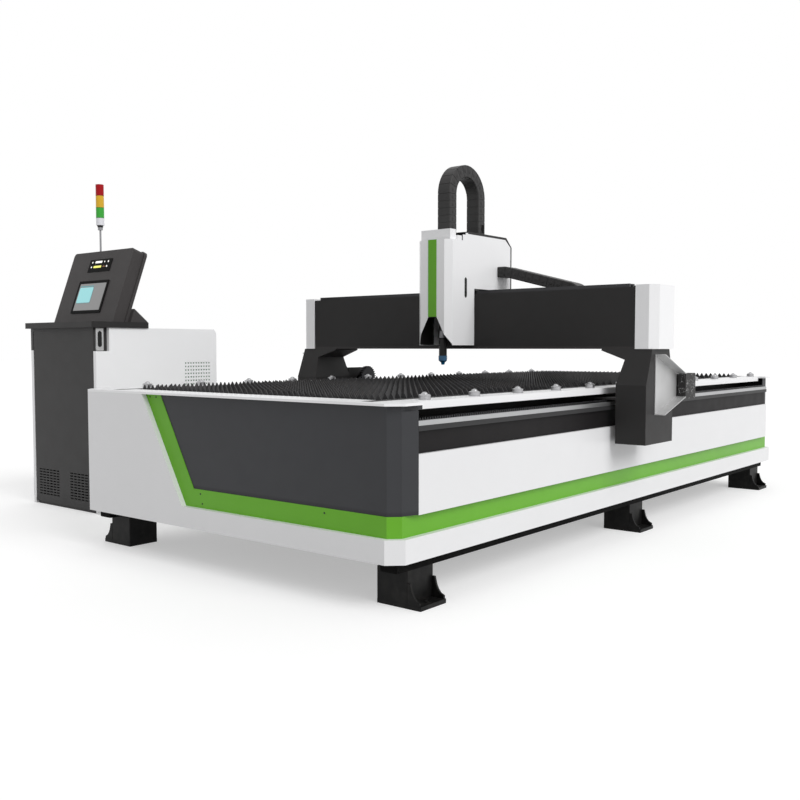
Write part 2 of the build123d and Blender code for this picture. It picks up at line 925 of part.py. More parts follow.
# Bearing blocks between the base plate and the cross rails
with BuildPart() as x_bearing_blocks:
    for x in (carriage_x - x_block_offset, carriage_x + x_block_offset):
        for y in (x_rail_front_y, x_rail_rear_y):
            profile_yz(
                [
                    (y - x_block_width / 2, gantry_top_z + block_low_gap),
                    (y - rail_clear, gantry_top_z + block_low_gap),
                    (y - rail_clear, x_rail_top_z + running_gap),
                    (y + rail_clear, x_rail_top_z + running_gap),
                    (y + rail_clear, gantry_top_z + block_low_gap),
                    (y + x_block_width / 2, gantry_top_z + block_low_gap),
                    (y + x_block_width / 2, frame_plate_z),
                    (y - x_block_width / 2, frame_plate_z),
                ],
                x - x_block_length / 2,
                x + x_block_length / 2,
            )
finish(x_bearing_blocks, "x_bearing_blocks")

# Cross drive motor, upright on the base plate inside the housing
frame_top_z = frame_plate_z + frame_plate
with BuildPart() as x_motor:
    with BuildSketch(Plane.XY.offset(frame_top_z)):
        with Locations((carriage_x, x_pinion_y)):
            motor_flange(x_motor_size)
            Circle(pinion_shaft_radius - 4 + bore_gap, mode=Mode.SUBTRACT)
    extrude(amount=30)
    with BuildSketch(Plane.XY.offset(frame_top_z + 30)):
        with Locations((carriage_x, x_pinion_y)):
            motor_flange(x_motor_size)
    extrude(amount=x_motor_height - 30)
finish(x_motor, "x_motor")

with BuildPart() as x_pinion:
    with BuildSketch(Plane.XY.offset(gantry_top_z + 1)):
        with Locations((carriage_x, x_pinion_y)):
            Polygon(*gear_points(x_gear_module, gear_teeth), align=None)
    extrude(amount=x_gear_height)
    with BuildSketch(Plane.XY.offset(gantry_top_z + 1 + x_gear_height)):
        with Locations((carriage_x, x_pinion_y)):
            Circle(pinion_shaft_radius - 4)
    extrude(amount=frame_top_z + 25 - gantry_top_z - 1 - x_gear_height)
finish(x_pinion, "x_pinion")

# White front cover with a cut-out over the torch, and the light box behind its top
cutout = [
    (-carriage_half - 1, cover_low_z - 5),
    (-carriage_half - 1, cover_low_z + 2),
    (-cutout_knee_half, cutout_knee_z),
    (-stripe_half, stripe_low_z),
    (stripe_half, stripe_low_z),
    (cutout_knee_half, cutout_knee_z),
    (carriage_half + 1, cover_low_z + 2),
    (carriage_half + 1, cover_low_z - 5),
]
with BuildPart() as carriage_cover:
    wrap(
        carriage_half, carriage_front_y, cover_return_y, cover_corner, cover_corner,
        0, sheet, cover_low_z, cover_top_z, carriage_x,
    )
    profile_xz(
        [(carriage_x + x, z) for x, z in cutout], carriage_front_y,
        carriage_front_y + cover_corner, Mode.SUBTRACT,
    )
    block(
        carriage_x - carriage_half + sheet, carriage_x + carriage_half - sheet,
        cap_box_front_y, cap_box_rear_y, cap_box_low_z, cover_top_z,
    )
    block(
        carriage_x - cap_box_half, carriage_x + cap_box_half,
        cap_box_front_y, cap_box_rear_y, cover_top_z, cap_box_top_z,
    )
finish(carriage_cover, "carriage_cover")

# Green stripe down the middle of the front cover
with BuildPart() as cover_stripe:
    block(
        carriage_x - stripe_half, carriage_x + stripe_half,
        carriage_front_y - stripe_thick, carriage_front_y, stripe_low_z, cover_top_z,
    )
finish(cover_stripe, "cover_stripe")

# White side plates of the carriage, stepped over the beam, with a slot each
tab_front_y = -478
tab_rear_y = -450
tab_top_z = 1600
side_top_z = carriage_top_z - rim
side_rear_y = carriage_rear_y - rim
with BuildPart() as carriage_side_plates:
    for x in (carriage_x - carriage_half, carriage_x + carriage_half - sheet):
        profile_yz(
            [
                (cover_return_y, cover_low_z),
                (gantry_front_y - 2, cover_low_z),
                (gantry_front_y - 2, over_beam_z),
                (side_rear_y, over_beam_z),
                (side_rear_y, cover_top_z),
                (side_rear_y - rear_slope_y, side_top_z),
                (tab_rear_y, side_top_z),
                (tab_rear_y, tab_top_z),
                (tab_front_y, tab_top_z),
                (tab_front_y, cover_top_z),
                (cover_return_y, cover_top_z),
            ],
            x,
            x + sheet,
        )
        with BuildSketch(Plane.YZ.offset(x)):
            with Locations((slot_y, (slot_low_z + slot_high_z) / 2)):
                SlotOverall(slot_high_z - slot_low_z, slot_width, rotation=90)
        extrude(amount=sheet, mode=Mode.SUBTRACT)
finish(carriage_side_plates, "carriage_side_plates")

# Dark folded shell between the side plates, standing out as a rim at the top and rear
shell_front_y = -430
shell_outer = [
    (shell_front_y, carriage_top_z),
    (carriage_rear_y - rear_slope_y, carriage_top_z),
    (carriage_rear_y, carriage_top_z - rear_slope_z),
    (carriage_rear_y, over_beam_z),
]
with BuildPart() as carriage_shell:
    profile_yz(
        shell_outer
        + [
            (side_rear_y, over_beam_z),
            (side_rear_y, cover_top_z),
            (side_rear_y - rear_slope_y, side_top_z),
            (shell_front_y, side_top_z),
        ],
        carriage_x - carriage_half,
        carriage_x + carriage_half,
    )
finish(carriage_shell, "carriage_shell")

# Closed lifting actuator on the front of the hanger plate
with BuildPart() as z_actuator:
    block(
        carriage_x - actuator_half, carriage_x + actuator_half,
        actuator_front_y, hanger_front_y, actuator_low_z, actuator_top_z,
    )
finish(z_actuator, "z_actuator")

# Slide of the lifter, with two clamps round the torch and an arm for the drag chain
z_leg_front_y = z_bend_y - z_bend_radius
with BuildPart() as torch_slide:
    block(
        carriage_x - slide_half, carriage_x + slide_half,
        slide_front_y, slide_rear_y, slide_low_z, slide_top_z,
    )
    for z in (clamp_low_z, clamp_high_z - clamp_height):
        block(
            carriage_x - clamp_half, carriage_x + clamp_half,
            torch_y - clamp_half, slide_front_y, z, z + clamp_height,
        )
    block(
        carriage_x - slide_half, carriage_x + slide_half,
        z_leg_front_y, slide_front_y, slide_top_z - 8, slide_top_z,
    )
    with BuildSketch(Plane.XY.offset(clamp_low_z)):
        with Locations((carriage_x, torch_y)):
            Circle(torch_radius + bore_gap)
    extrude(amount=clamp_high_z - clamp_low_z, mode=Mode.SUBTRACT)
finish(torch_slide, "torch_slide")

# Torch body and its blue nozzle with a hexagon and a tapered tip
with BuildPart() as torch_body:
    with BuildSketch(Plane.XY.offset(torch_low_z)):
        with Locations((carriage_x, torch_y)):
            Circle(torch_radius)
    extrude(amount=torch_top_z - torch_low_z)
    with BuildSketch(Plane.XY.offset(torch_top_z)):
        with Locations((carriage_x, torch_y)):
            Circle(torch_neck_radius)
    extrude(amount=torch_neck_height)
finish(torch_body, "torch_body")

nozzle_hex_low_z = nozzle_low_z + 8
with BuildPart() as torch_nozzle:
    with BuildSketch(Plane.XY.offset(nozzle_hex_low_z)):
        with Locations((carriage_x, torch_y)):
            RegularPolygon(radius=nozzle_radius, side_count=6)
    extrude(amount=torch_low_z - nozzle_hex_low_z)
    for low_z, low_radius, high_z, high_radius in (
        (nozzle_low_z, tip_radius + 3, nozzle_hex_low_z, nozzle_radius * 0.86),
        (tip_low_z, tip_radius - 4, nozzle_low_z, tip_radius),
    ):
        for z, radius in ((low_z, low_radius), (high_z, high_radius)):
            with BuildSketch(Plane.XY.offset(z)):
                with Locations((carriage_x, torch_y)):
                    RegularPolygon(radius=radius, side_count=12)
        loft(ruled=True)
finish(torch_nozzle, "torch_nozzle")


def z_chain_leg(name, y0, z0):
    """Straight upright run of the lifting chain, up to its bend."""
    with BuildPart() as leg:
        block(
            carriage_x - z_chain_width / 2, carriage_x + z_chain_width / 2,
            y0, y0 + z_chain_thick, z0, z_bend_z - running_gap,
        )
    finish(leg, name)


z_chain_leg("z_chain_front", z_leg_front_y, slide_top_z)
z_chain_leg("z_chain_rear", z_bend_y + z_bend_radius - z_chain_thick, carriage_top_z)

# Upper half circle of the lifting chain
with BuildPart() as z_chain_bend:
    with BuildSketch(Plane.YZ.offset(carriage_x - z_chain_width / 2)):
        with Locations((z_bend_y, z_bend_z)):
            Circle(z_bend_radius)
            Circle(z_bend_radius - z_chain_thick, mode=Mode.SUBTRACT)
        with Locations((z_bend_y, z_bend_z - z_bend_radius / 2)):
            Rectangle(2 * z_bend_radius, z_bend_radius, mode=Mode.SUBTRACT)
    extrude(amount=z_chain_width)
finish(z_chain_bend, "z_chain_bend")

# Cross chain: sloping upper run from the carriage, bend, and lower run in a tray behind the beam
slope = math.radians(x_chain_slope)
x_chain_rear_y = x_chain_front_y + x_chain_width
x_bend_inner = x_bend_radius - x_chain_thick
clamp_x = carriage_x + carriage_half
upper_end = (x_bend_x + x_bend_radius * math.sin(slope), x_bend_z + x_bend_radius * math.cos(slope))
upper_end_low = (x_bend_x + x_bend_inner * math.sin(slope), x_bend_z + x_bend_inner * math.cos(slope))
gap_x = running_gap * math.cos(slope)
gap_z = running_gap * math.sin(slope)
with BuildPart() as x_chain_upper:
    profile_xz(
        [
            (clamp_x, x_clamp_low_z),
            (clamp_x, x_clamp_low_z + x_chain_thick),
            (clamp_x + x_clamp_length, x_clamp_low_z + x_chain_thick),
            (upper_end[0] - gap_x, upper_end[1] + gap_z),
            (upper_end_low[0] - gap_x, upper_end_low[1] + gap_z),
            (clamp_x + x_clamp_length - x_chain_thick * math.tan(slope / 2), x_clamp_low_z),
        ],
        x_chain_front_y,
        x_chain_rear_y,
    )
finish(x_chain_upper, "x_chain_upper")

with BuildPart() as x_chain_bend:
    with BuildSketch(Plane.XZ.offset(-x_chain_rear_y)):
        with BuildLine():
            outer = CenterArc((x_bend_x, x_bend_z), x_bend_radius, -90, 180 - x_chain_slope)
            inner = CenterArc((x_bend_x, x_bend_z), x_bend_inner, -90, 180 - x_chain_slope)
            Line(outer @ 0, inner @ 0)
            Line(outer @ 1, inner @ 1)
        make_face()
    extrude(amount=x_chain_width)
finish(x_chain_bend, "x_chain_bend")

with BuildPart() as x_chain_lower:
    block(
        x_chain_fixed_x, x_bend_x - running_gap, x_chain_front_y, x_chain_rear_y,
        x_bend_z - x_bend_radius, x_bend_z - x_bend_inner,
    )
finish(x_chain_lower, "x_chain_lower")

# Tray behind the beam for the lower run, with a lip at the rear
tray_top_z = x_bend_z - x_bend_radius - running_gap
tray_rear_y = x_chain_rear_y + 4
with BuildPart() as chain_tray:
    profile_yz(
        [
            (gantry_rear_y, tray_top_z + tray_lip),
            (gantry_rear_y, tray_top_z - tray_sheet),
            (tray_rear_y, tray_top_z - tray_sheet),
            (tray_rear_y, tray_top_z + tray_lip / 2),
            (tray_rear_y - tray_sheet, tray_top_z + tray_lip / 2),
            (tray_rear_y - tray_sheet, tray_top_z),
            (gantry_rear_y + tray_sheet, tray_top_z),
            (gantry_rear_y + tray_sheet, tray_top_z + tray_lip),
        ],
        tray_start_x,
        tray_end_x,
    )
finish(chain_tray, "chain_tray")

# Cabinet body: sheet box on a plinth, open at the front between its sill and header
box_front_y = cabinet_front_y + door_thick + running_gap
with BuildPart() as cabinet_body:
    block(
        body_left_x, body_right_x, cabinet_front_y, cabinet_rear_y, plinth_height, cabinet_height,
    )
    block(
        body_left_x, body_right_x, cabinet_front_y, box_front_y,
        plinth_height + sill, cabinet_height - sill, Mode.SUBTRACT,
    )
    block(
        body_left_x + cabinet_wall, body_right_x - cabinet_wall, cabinet_front_y,
        cabinet_rear_y - cabinet_wall, plinth_height + sill, cabinet_height - sill, Mode.SUBTRACT,
    )
    block(
        body_left_x + plinth_inset, body_right_x - plinth_inset, cabinet_front_y + plinth_inset,
        cabinet_rear_y - plinth_inset, 0, plinth_height,
    )
    for z in (plinth_height + sill, cabinet_height - sill - hinge_pin_height):
        with BuildSketch(Plane.XY.offset(z)):
            with Locations((hinge_x, hinge_y)):
                Circle(hinge_pin_radius)
        extrude(amount=hinge_pin_height)
finish(cabinet_body, "cabinet_body")

# Door with a round hinge edge, pin bores and two groups of louvre slots
door_low_z = plinth_height + sill + running_gap
door_high_z = cabinet_height - sill - running_gap
with BuildPart() as cabinet_door:
    with BuildSketch(Plane.XY.offset(door_low_z)):
        with Locations((hinge_x, hinge_y)):
            Circle(door_thick / 2)
        with Locations(((hinge_x + body_right_x - door_gap) / 2, hinge_y)):
            Rectangle(body_right_x - door_gap - hinge_x, door_thick)
    extrude(amount=door_high_z - door_low_z)
    for z in (door_low_z, door_high_z - hinge_pin_height - running_gap):
        with BuildSketch(Plane.XY.offset(z)):
            with Locations((hinge_x, hinge_y)):
                Circle(hinge_pin_radius + bore_gap)
        extrude(amount=hinge_pin_height + running_gap, mode=Mode.SUBTRACT)
    for side in (-1, 1):
        middle = cabinet_mid_x + side * vent_centre_gap / 2
        for row in range(vent_rows):
            low = vent_low_z + row * vent_pitch_z
            block(
                middle - vent_width / 2, middle + vent_width / 2, cabinet_front_y,
                cabinet_front_y + door_thick, low, low + vent_height, Mode.SUBTRACT,
            )
finish(cabinet_door, "cabinet_door")

# White side shells of the cabinet
with BuildPart() as cabinet_side_left:
    with BuildSketch(Plane.YZ.offset(cabinet_left_x)):
        with Locations(((cabinet_front_y + cabinet_rear_y) / 2, cabinet_height / 2)):
            Rectangle(cabinet_depth, cabinet_height)
    extrude(amount=shell_thick)
    rear_top = cabinet_side_left.edges().filter_by(Axis.X).group_by(Axis.Z)[-1].sort_by(Axis.Y)[-1]
    fillet(rear_top, shell_corner)
finish(cabinet_side_left, "cabinet_side_left")

with BuildPart() as cabinet_side_right:
    with BuildSketch(Plane.YZ.offset(body_right_x)):
        with Locations(((cabinet_front_y + cabinet_rear_y) / 2, cabinet_height / 2)):
            Rectangle(cabinet_depth, cabinet_height)
    extrude(amount=shell_thick)
    rear_top = cabinet_side_right.edges().filter_by(Axis.X).group_by(Axis.Z)[-1].sort_by(Axis.Y)[-1]
    fillet(rear_top, shell_corner)
    block(
        body_right_x, cabinet_right_x, cabinet_front_y, cabinet_front_y + notch_depth,
        notch_low_z, cabinet_height, Mode.SUBTRACT,
    )
    for row in range(dots_rows):
        high = dots_top_z - row * dots_pitch_z
        block(
            cabinet_right_x - 8, cabinet_right_x, dots_front_y, dots_front_y + dots_width,
            high - dots_height, high, Mode.SUBTRACT,
        )
finish(cabinet_side_right, "cabinet_side_right")

# Lock plate in the notch of the right shell, with a slotted grip
lock_low_z = notch_low_z + (cabinet_height - notch_low_z - lock_height) / 2
with BuildPart() as door_lock:
    with BuildSketch(Plane.YZ.offset(body_right_x)):
        with Locations((lock_front_y + lock_width / 2, lock_low_z + lock_height / 2)):
            RectangleRounded(lock_width, lock_height, 6)
    extrude(amount=lock_thick)
    with BuildSketch(Plane.YZ.offset(body_right_x + lock_thick - 5)):
        with Locations((lock_front_y + lock_width / 2, lock_low_z + lock_height / 2)):
            SlotOverall(lock_height - 40, lock_width - 22, rotation=90)
    extrude(amount=5, mode=Mode.SUBTRACT)
finish(door_lock, "door_lock")

# Drive electronics on a plate at the back of the cabinet
with BuildPart() as drive_units:
    units_rear_y = cabinet_rear_y - cabinet_wall
    block(body_left_x + 50, body_right_x - 50, units_rear_y - 6, units_rear_y, 140, cabinet_height - 140)
    for column in range(4):
        left = body_left_x + 80 + column * 135
        block(
            left, left + 100, units_rear_y - 180, units_rear_y - 6,
            cabinet_height - 460, cabinet_height - 240,
        )
    block(body_left_x + 80, body_right_x - 100, units_rear_y - 220, units_rear_y - 6, 220, 480)
finish(drive_units, "drive_units")

# Desk plate on the cabinet, and the wedge that holds the console from behind
console_back = console_depth + console_back_depth
tilt = math.radians(console_tilt)
back_low_y = console_front_y + console_back / math.cos(tilt)
back_high_y = back_low_y + stand_height * math.tan(tilt)
desk_rear_y = desk_front_y + desk_depth
with BuildPart() as desk_top:
    block(
        cabinet_left_x - desk_overhang, cabinet_right_x + desk_overhang,
        desk_front_y, desk_rear_y, cabinet_height, desk_top_z,
    )
    profile_yz(
        [
            (back_low_y, desk_top_z),
            (back_high_y, desk_top_z + stand_height),
            (back_high_y + 15, desk_top_z + stand_height),
            (desk_rear_y, desk_top_z + 15),
            (desk_rear_y, desk_top_z),
        ],
        cabinet_mid_x - stand_half,
        cabinet_mid_x + stand_half,
    )
finish(desk_top, "desk_top")

# Tilted console: a front housing and a slightly wider back cover, both cut level at the desk
with BuildPart() as console_housing:
    with BuildSketch(console_plane) as front_outline:
        with Locations((0, console_height / 2 - 50)):
            Rectangle(console_width, console_height + 100)
        fillet(front_outline.vertices().group_by(Axis.Z)[-1], console_corner)
    extrude(amount=-console_depth)
    with BuildSketch(console_plane.offset(-console_depth)) as back_outline:
        with Locations((0, console_height / 2 - 50 + console_back_wider / 2)):
            Rectangle(console_width + 2 * console_back_wider, console_height + 100 + console_back_wider)
        fillet(back_outline.vertices().group_by(Axis.Z)[-1], console_corner + console_back_wider)
    extrude(amount=-console_back_depth)
    block(
        cabinet_left_x, cabinet_right_x, desk_front_y - 200, desk_rear_y + 200,
        desk_top_z - 400, desk_top_z, Mode.SUBTRACT,
    )
    with BuildSketch(Plane.XY.offset(pole_low_z)):
        with Locations((tower_x, tower_y)):
            Circle(pole_radius)
    extrude(amount=pole_top_z - pole_low_z, mode=Mode.SUBTRACT)
finish(console_housing, "console_housing")

# Screen with a raised border
with BuildPart() as touch_screen:
    screen_x = (screen_left + screen_right) / 2 - console_width / 2
    with BuildSketch(console_plane):
        with Locations((screen_x, (screen_low + screen_high) / 2)):
            RectangleRounded(screen_right - screen_left, screen_high - screen_low, 8)
    extrude(amount=screen_proud)
    with BuildSketch(console_plane.offset(screen_proud - 2)):
        with Locations((screen_x, (screen_low + screen_high) / 2)):
            Rectangle(
                screen_right - screen_left - 2 * screen_border,
                screen_high - screen_low - 2 * screen_border,
            )
    extrude(amount=2, mode=Mode.SUBTRACT)
finish(touch_screen, "touch_screen")

with BuildPart() as indicator_panel:
    with BuildSketch(console_plane):
        with Locations(
            ((indicator_left + indicator_right) / 2 - console_width / 2, (indicator_low + indicator_high) / 2)
        ):
            Rectangle(indicator_right - indicator_left, indicator_high - indicator_low)
    extrude(amount=indicator_proud)
finish(indicator_panel, "indicator_panel")

# Tower light: pole with a black neck, white base and three coloured lenses
with BuildPart() as tower_pole:
    with BuildSketch(Plane.XY.offset(pole_low_z)):
        with Locations((tower_x, tower_y)):
            Circle(pole_radius)
    extrude(amount=pole_top_z - pole_low_z)
    with BuildSketch(Plane.XY.offset(pole_top_z)):
        with Locations((tower_x, tower_y)):
            Circle(neck_radius)
    extrude(amount=neck_top_z - pole_top_z)
finish(tower_pole, "tower_pole")

tower_levels = [
    ("tower_base", neck_top_z, base_top_z),
    ("lamp_green", base_top_z, lamp_green_top_z),
    ("lamp_amber", lamp_green_top_z, lamp_amber_top_z),
    ("lamp_red", lamp_amber_top_z, lamp_red_top_z),
]
for name, low, high in tower_levels:
    with BuildPart() as lens:
        with BuildSketch(Plane.XY.offset(low)):
            with Locations((tower_x, tower_y)):
                RegularPolygon(radius=lamp_radius, side_count=lens_flats)
        extrude(amount=high - low)
    finish(lens, name)
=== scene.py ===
# %% [markdown]
# A plasma cutting table: a bed of toothed slats on six feet, a gantry that runs along it, a
# carriage with the torch, two drag chains and a control cabinet on its own. The solids come
# packed and fixed. This file gives them their finishes, makes what is too fine for them, and
# lights the whole. Everything is in metres, with the origin on the floor under the bed.

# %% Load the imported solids
import math

import bmesh
import bpy
from mathutils import Matrix, Vector


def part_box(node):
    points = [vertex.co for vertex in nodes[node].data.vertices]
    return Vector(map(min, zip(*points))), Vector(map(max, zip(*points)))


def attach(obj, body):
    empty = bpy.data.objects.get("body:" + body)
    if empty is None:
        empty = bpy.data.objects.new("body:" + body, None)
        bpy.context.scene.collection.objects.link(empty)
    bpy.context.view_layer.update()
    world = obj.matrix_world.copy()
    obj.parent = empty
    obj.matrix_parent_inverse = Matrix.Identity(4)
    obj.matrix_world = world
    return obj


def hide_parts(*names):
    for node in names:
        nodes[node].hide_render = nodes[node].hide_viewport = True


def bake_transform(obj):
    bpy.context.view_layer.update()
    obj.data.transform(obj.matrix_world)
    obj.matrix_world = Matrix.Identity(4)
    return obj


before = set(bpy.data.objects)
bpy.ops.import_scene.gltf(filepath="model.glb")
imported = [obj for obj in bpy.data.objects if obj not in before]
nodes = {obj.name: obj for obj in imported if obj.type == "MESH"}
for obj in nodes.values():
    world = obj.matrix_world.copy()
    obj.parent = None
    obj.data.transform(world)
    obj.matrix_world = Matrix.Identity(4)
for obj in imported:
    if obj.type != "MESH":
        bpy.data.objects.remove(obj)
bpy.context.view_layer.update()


# %% [markdown]
# Every new piece is written out as points and faces. A piece that is swept or turned on the real
# machine is made the same way here: an outline pushed along, or a profile spun round. Blender
# could add cubes and cylinders and cut them, but an outline is shorter to write and leaves clean
# faces. Normals are worked out again at the end, and edges sharper than 35 degrees stay sharp.


# %% Outlines, turned profiles and plain meshes
class Shape:
    """Points and faces of one piece, in metres."""

    def __init__(self):
        self.points = []
        self.faces = []

    def add(self, points, faces, place=None):
        base = len(self.points)
        self.points += [place @ Vector(p) if place else Vector(p) for p in points]
        self.faces += [[base + index for index in face] for face in faces]
        return self

    def prism(self, outline, low, high, place=None):
        """An outline in X and Y, pushed from low to high along Z."""
        count = len(outline)
        points = [(x, y, z) for z in (low, high) for x, y in outline]
        sides = [[i, (i + 1) % count, count + (i + 1) % count, count + i] for i in range(count)]
        ends = [list(range(count))[::-1], list(range(count, 2 * count))]
        return self.add(points, ends + sides, place)

    def lathe(self, profile, steps, place=None):
        """A profile of radius and height, from axis to axis, spun round Z."""
        points = [(0, 0, profile[0][1])]
        for radius, height in profile[1:-1]:
            for step in range(steps):
                turn = 2 * math.pi * step / steps
                points.append((radius * math.cos(turn), radius * math.sin(turn), height))
        points.append((0, 0, profile[-1][1]))
        last = len(points) - 1
        rings = len(profile) - 2
        faces = []
        for step in range(steps):
            after = (step + 1) % steps
            faces.append([0, 1 + after, 1 + step])
            for ring in range(rings - 1):
                a, b = 1 + ring * steps, 1 + (ring + 1) * steps
                faces.append([a + step, a + after, b + after, b + step])
            end = 1 + (rings - 1) * steps
            faces.append([end + step, end + after, last])
        return self.add(points, faces, place)

    def made(self, name, finish=None):
        """The shape as an object at the origin."""
        mesh = bpy.data.meshes.new(name)
        mesh.from_pydata(self.points, [], self.faces)
        if finish:
            mesh.materials.append(finish)
        return tidy(in_scene(name, mesh))


def in_scene(name, data):
    """A new object round its mesh, lamp or camera, linked to the scene."""
    thing = bpy.data.objects.new(name, data)
    bpy.context.scene.collection.objects.link(thing)
    return thing


def tidy(thing, sharp=35):
    """Merge doubles, point the faces outwards and smooth between sharp edges."""
    work = bmesh.new()
    work.from_mesh(thing.data)
    bmesh.ops.remove_doubles(work, verts=work.verts, dist=1e-6)
    bmesh.ops.recalc_face_normals(work, faces=work.faces)
    work.to_mesh(thing.data)
    work.free()
    for face in thing.data.polygons:
        face.use_smooth = True
    thing.data.set_sharp_from_angle(angle=math.radians(sharp))
    return thing


def box_outline(width, depth, cut=0.0, x=0.0, y=0.0):
    """A rectangle with cut corners."""
    a, b = width / 2, depth / 2
    if not cut:
        return [(x - a, y - b), (x + a, y - b), (x + a, y + b), (x - a, y + b)]
    return [
        (x - a + cut, y - b), (x + a - cut, y - b), (x + a, y - b + cut), (x + a, y + b - cut),
        (x + a - cut, y + b), (x - a + cut, y + b), (x - a, y + b - cut), (x - a, y - b + cut),
    ]


def facing(x, y, z, axis):
    """A place whose own Z looks along the named axis."""
    turns = {
        "+Z": Matrix(), "-Z": Matrix.Rotation(math.pi, 4, "X"),
        "-Y": Matrix.Rotation(math.pi / 2, 4, "X"), "+Y": Matrix.Rotation(-math.pi / 2, 4, "X"),
        "+X": Matrix.Rotation(math.pi / 2, 4, "Y"), "-X": Matrix.Rotation(-math.pi / 2, 4, "Y"),
    }
    return Matrix.Translation((x, y, z)) @ turns[axis]


# Stands an outline up: its X runs along Y, its Y goes up and its thickness lies along X.
UPRIGHT = Matrix(((0, 0, 1, 0), (1, 0, 0, 0), (0, 1, 0, 0), (0, 0, 0, 1)))


def settle(thing, body, slot, *stands_for):
    """Give a finished piece its body and hide the solids it stands for. The slot is not used.

    A piece that spans two bodies takes no body here.
    """
    if body:
        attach(thing, body)
    if stands_for:
        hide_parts(*stands_for)
    print(thing.name, len(thing.data.polygons), "faces on", body)
    return thing


# %% [markdown]
# Node trees are written as sums. A small class wraps one socket of a tree, so that
# `1 - mask * 0.3` adds the two Math nodes it names, and one method makes every other node:
# first its settings, then its values and links. All patterns read the object coordinates, which
# are the same for every piece, so grain and dust run on from one piece to the next.


# %% Sockets that add up
class Wire:
    """One output socket that arithmetic can build on."""

    def __init__(self, owner, socket):
        self.owner = owner
        self.socket = socket

    def maths(self, operation, *values):
        return self.owner.node("ShaderNodeMath", {"operation": operation}, dict(enumerate(values)))

    def __add__(self, other):
        return self.maths("ADD", self, other)

    def __sub__(self, other):
        return self.maths("SUBTRACT", self, other)

    def __rsub__(self, other):
        return self.maths("SUBTRACT", other, self)

    def __mul__(self, other):
        return self.maths("MULTIPLY", self, other)

    def __truediv__(self, other):
        return self.maths("DIVIDE", self, other)

    def __mod__(self, other):
        return self.maths("MODULO", self, other)

    __radd__ = __add__
    __rmul__ = __mul__

    def larger(self, other):
        return self.maths("MAXIMUM", self, other)

    def between(self, low, high):
        """0 below low, 1 above high and smooth in between."""
        settings = {"interpolation_type": "SMOOTHSTEP"}
        return self.owner.node("ShaderNodeMapRange", settings, {0: self, 1: low, 2: high})

    def beside(self, name):
        """Another output of the same node."""
        return Wire(self.owner, self.socket.node.outputs[name])


class Tree:
    """A node tree to which nodes are added and joined."""

    def __init__(self, tree):
        self.tree = tree

    def node(self, kind, settings=None, wires=None, out=0):
        made = self.tree.nodes.new(kind)
        for key, value in (settings or {}).items():
            setattr(made, key, value)
        for key, value in (wires or {}).items():
            self.join(made.inputs[key], value)
        return Wire(self, made.outputs[out])

    def join(self, socket, value):
        if isinstance(value, Wire):
            self.tree.links.new(value.socket, socket)
        elif isinstance(value, tuple) and len(value) == 3 and len(socket.default_value) == 4:
            socket.default_value = (*value, 1)
        else:
            socket.default_value = value


class Finish(Tree):
    """A material under construction, round one Principled shader."""

    def __init__(self, name, **constants):
        self.material = bpy.data.materials.new(name)
        self.material.use_nodes = True
        super().__init__(self.material.node_tree)
        self.shader = self.tree.nodes["Principled BSDF"]
        self.place = self.node("ShaderNodeTexCoord", out="Object")
        for key, value in constants.items():
            self.feed(key, value)

    def feed(self, key, value):
        """Set or link a socket of the shader; Base_Color stands for Base Color."""
        self.join(self.shader.inputs[key.replace("_", " ")], value)

    def along(self, axis):
        """One coordinate of the place on the object."""
        return self.node("ShaderNodeSeparateXYZ", None, {0: self.place}, "XYZ".index(axis))

    def stretched(self, scale):
        wires = {0: self.place, 1: scale}
        return self.node("ShaderNodeVectorMath", {"operation": "MULTIPLY"}, wires)

    def noise(self, scale, detail=2.0, stretch=None, rough=0.5):
        where = self.stretched(stretch) if stretch else self.place
        return self.node(
            "ShaderNodeTexNoise", None,
            {"Vector": where, "Scale": scale, "Detail": detail, "Roughness": rough},
        )

    def mix(self, factor, first, second):
        wires = {0: factor, 6: first, 7: second}
        return self.node("ShaderNodeMix", {"data_type": "RGBA"}, wires, out=2)

    def bump(self, height, distance, strength=1.0):
        made = self.node(
            "ShaderNodeBump", None, {"Height": height, "Distance": distance, "Strength": strength}
        )
        self.feed("Normal", made)


def shade(colour, amount):
    """A colour made darker or lighter."""
    return tuple(min(1.0, channel * amount) for channel in colour)


print("tree and finish tools ready")

# %% [markdown]
# Almost every sheet of the machine is powder coated: the powder melts to a skin with a fine
# orange peel, and fingers, dust and slightly uneven film give it broad soft patches. A flat colour
# would look like paper, so each coat takes a slow noise for its film and a fast one for its peel.
# Dust gathers low down, so the lowest decimetres are a little paler on dark coats.


# %% Powder coats
DUST = (0.32, 0.3, 0.27)


def powder_coat(
    name, colour, rough, peel=1.0, film=0.05, low_dust=0.0, coat=0.0, shine=0.22, mark=None
):
    """A coat's material. A mark is a mask, as a function of the finish, and its colour."""
    finish = Finish(name, Coat_Weight=coat, Coat_Roughness=0.25, Specular_IOR_Level=shine)
    patches = finish.noise(1.7, 4)
    cloud = finish.noise(11, 3)
    tone = finish.mix(patches.between(0.3, 0.7), shade(colour, 1 - film), shade(colour, 1 + film))
    tone = finish.mix(cloud.between(0.35, 0.8) * 0.35, tone, shade(colour, 1 - 1.4 * film))
    if low_dust:
        height = finish.along("Z")
        dusty = (1 - height.between(0.0, 0.35)) * finish.noise(24, 4).between(0.35, 0.75) * low_dust
        tone = finish.mix(dusty, tone, DUST)
    if mark:
        mask, mark_colour = mark
        tone = finish.mix(mask(finish), tone, mark_colour)
    finish.feed("Base_Color", tone)
    finish.feed("Roughness", rough + (cloud - 0.5) * 0.12 + (patches - 0.5) * 0.08)
    finish.bump(finish.noise(620, 2), 0.00022 * peel, 0.22)
    return finish.material


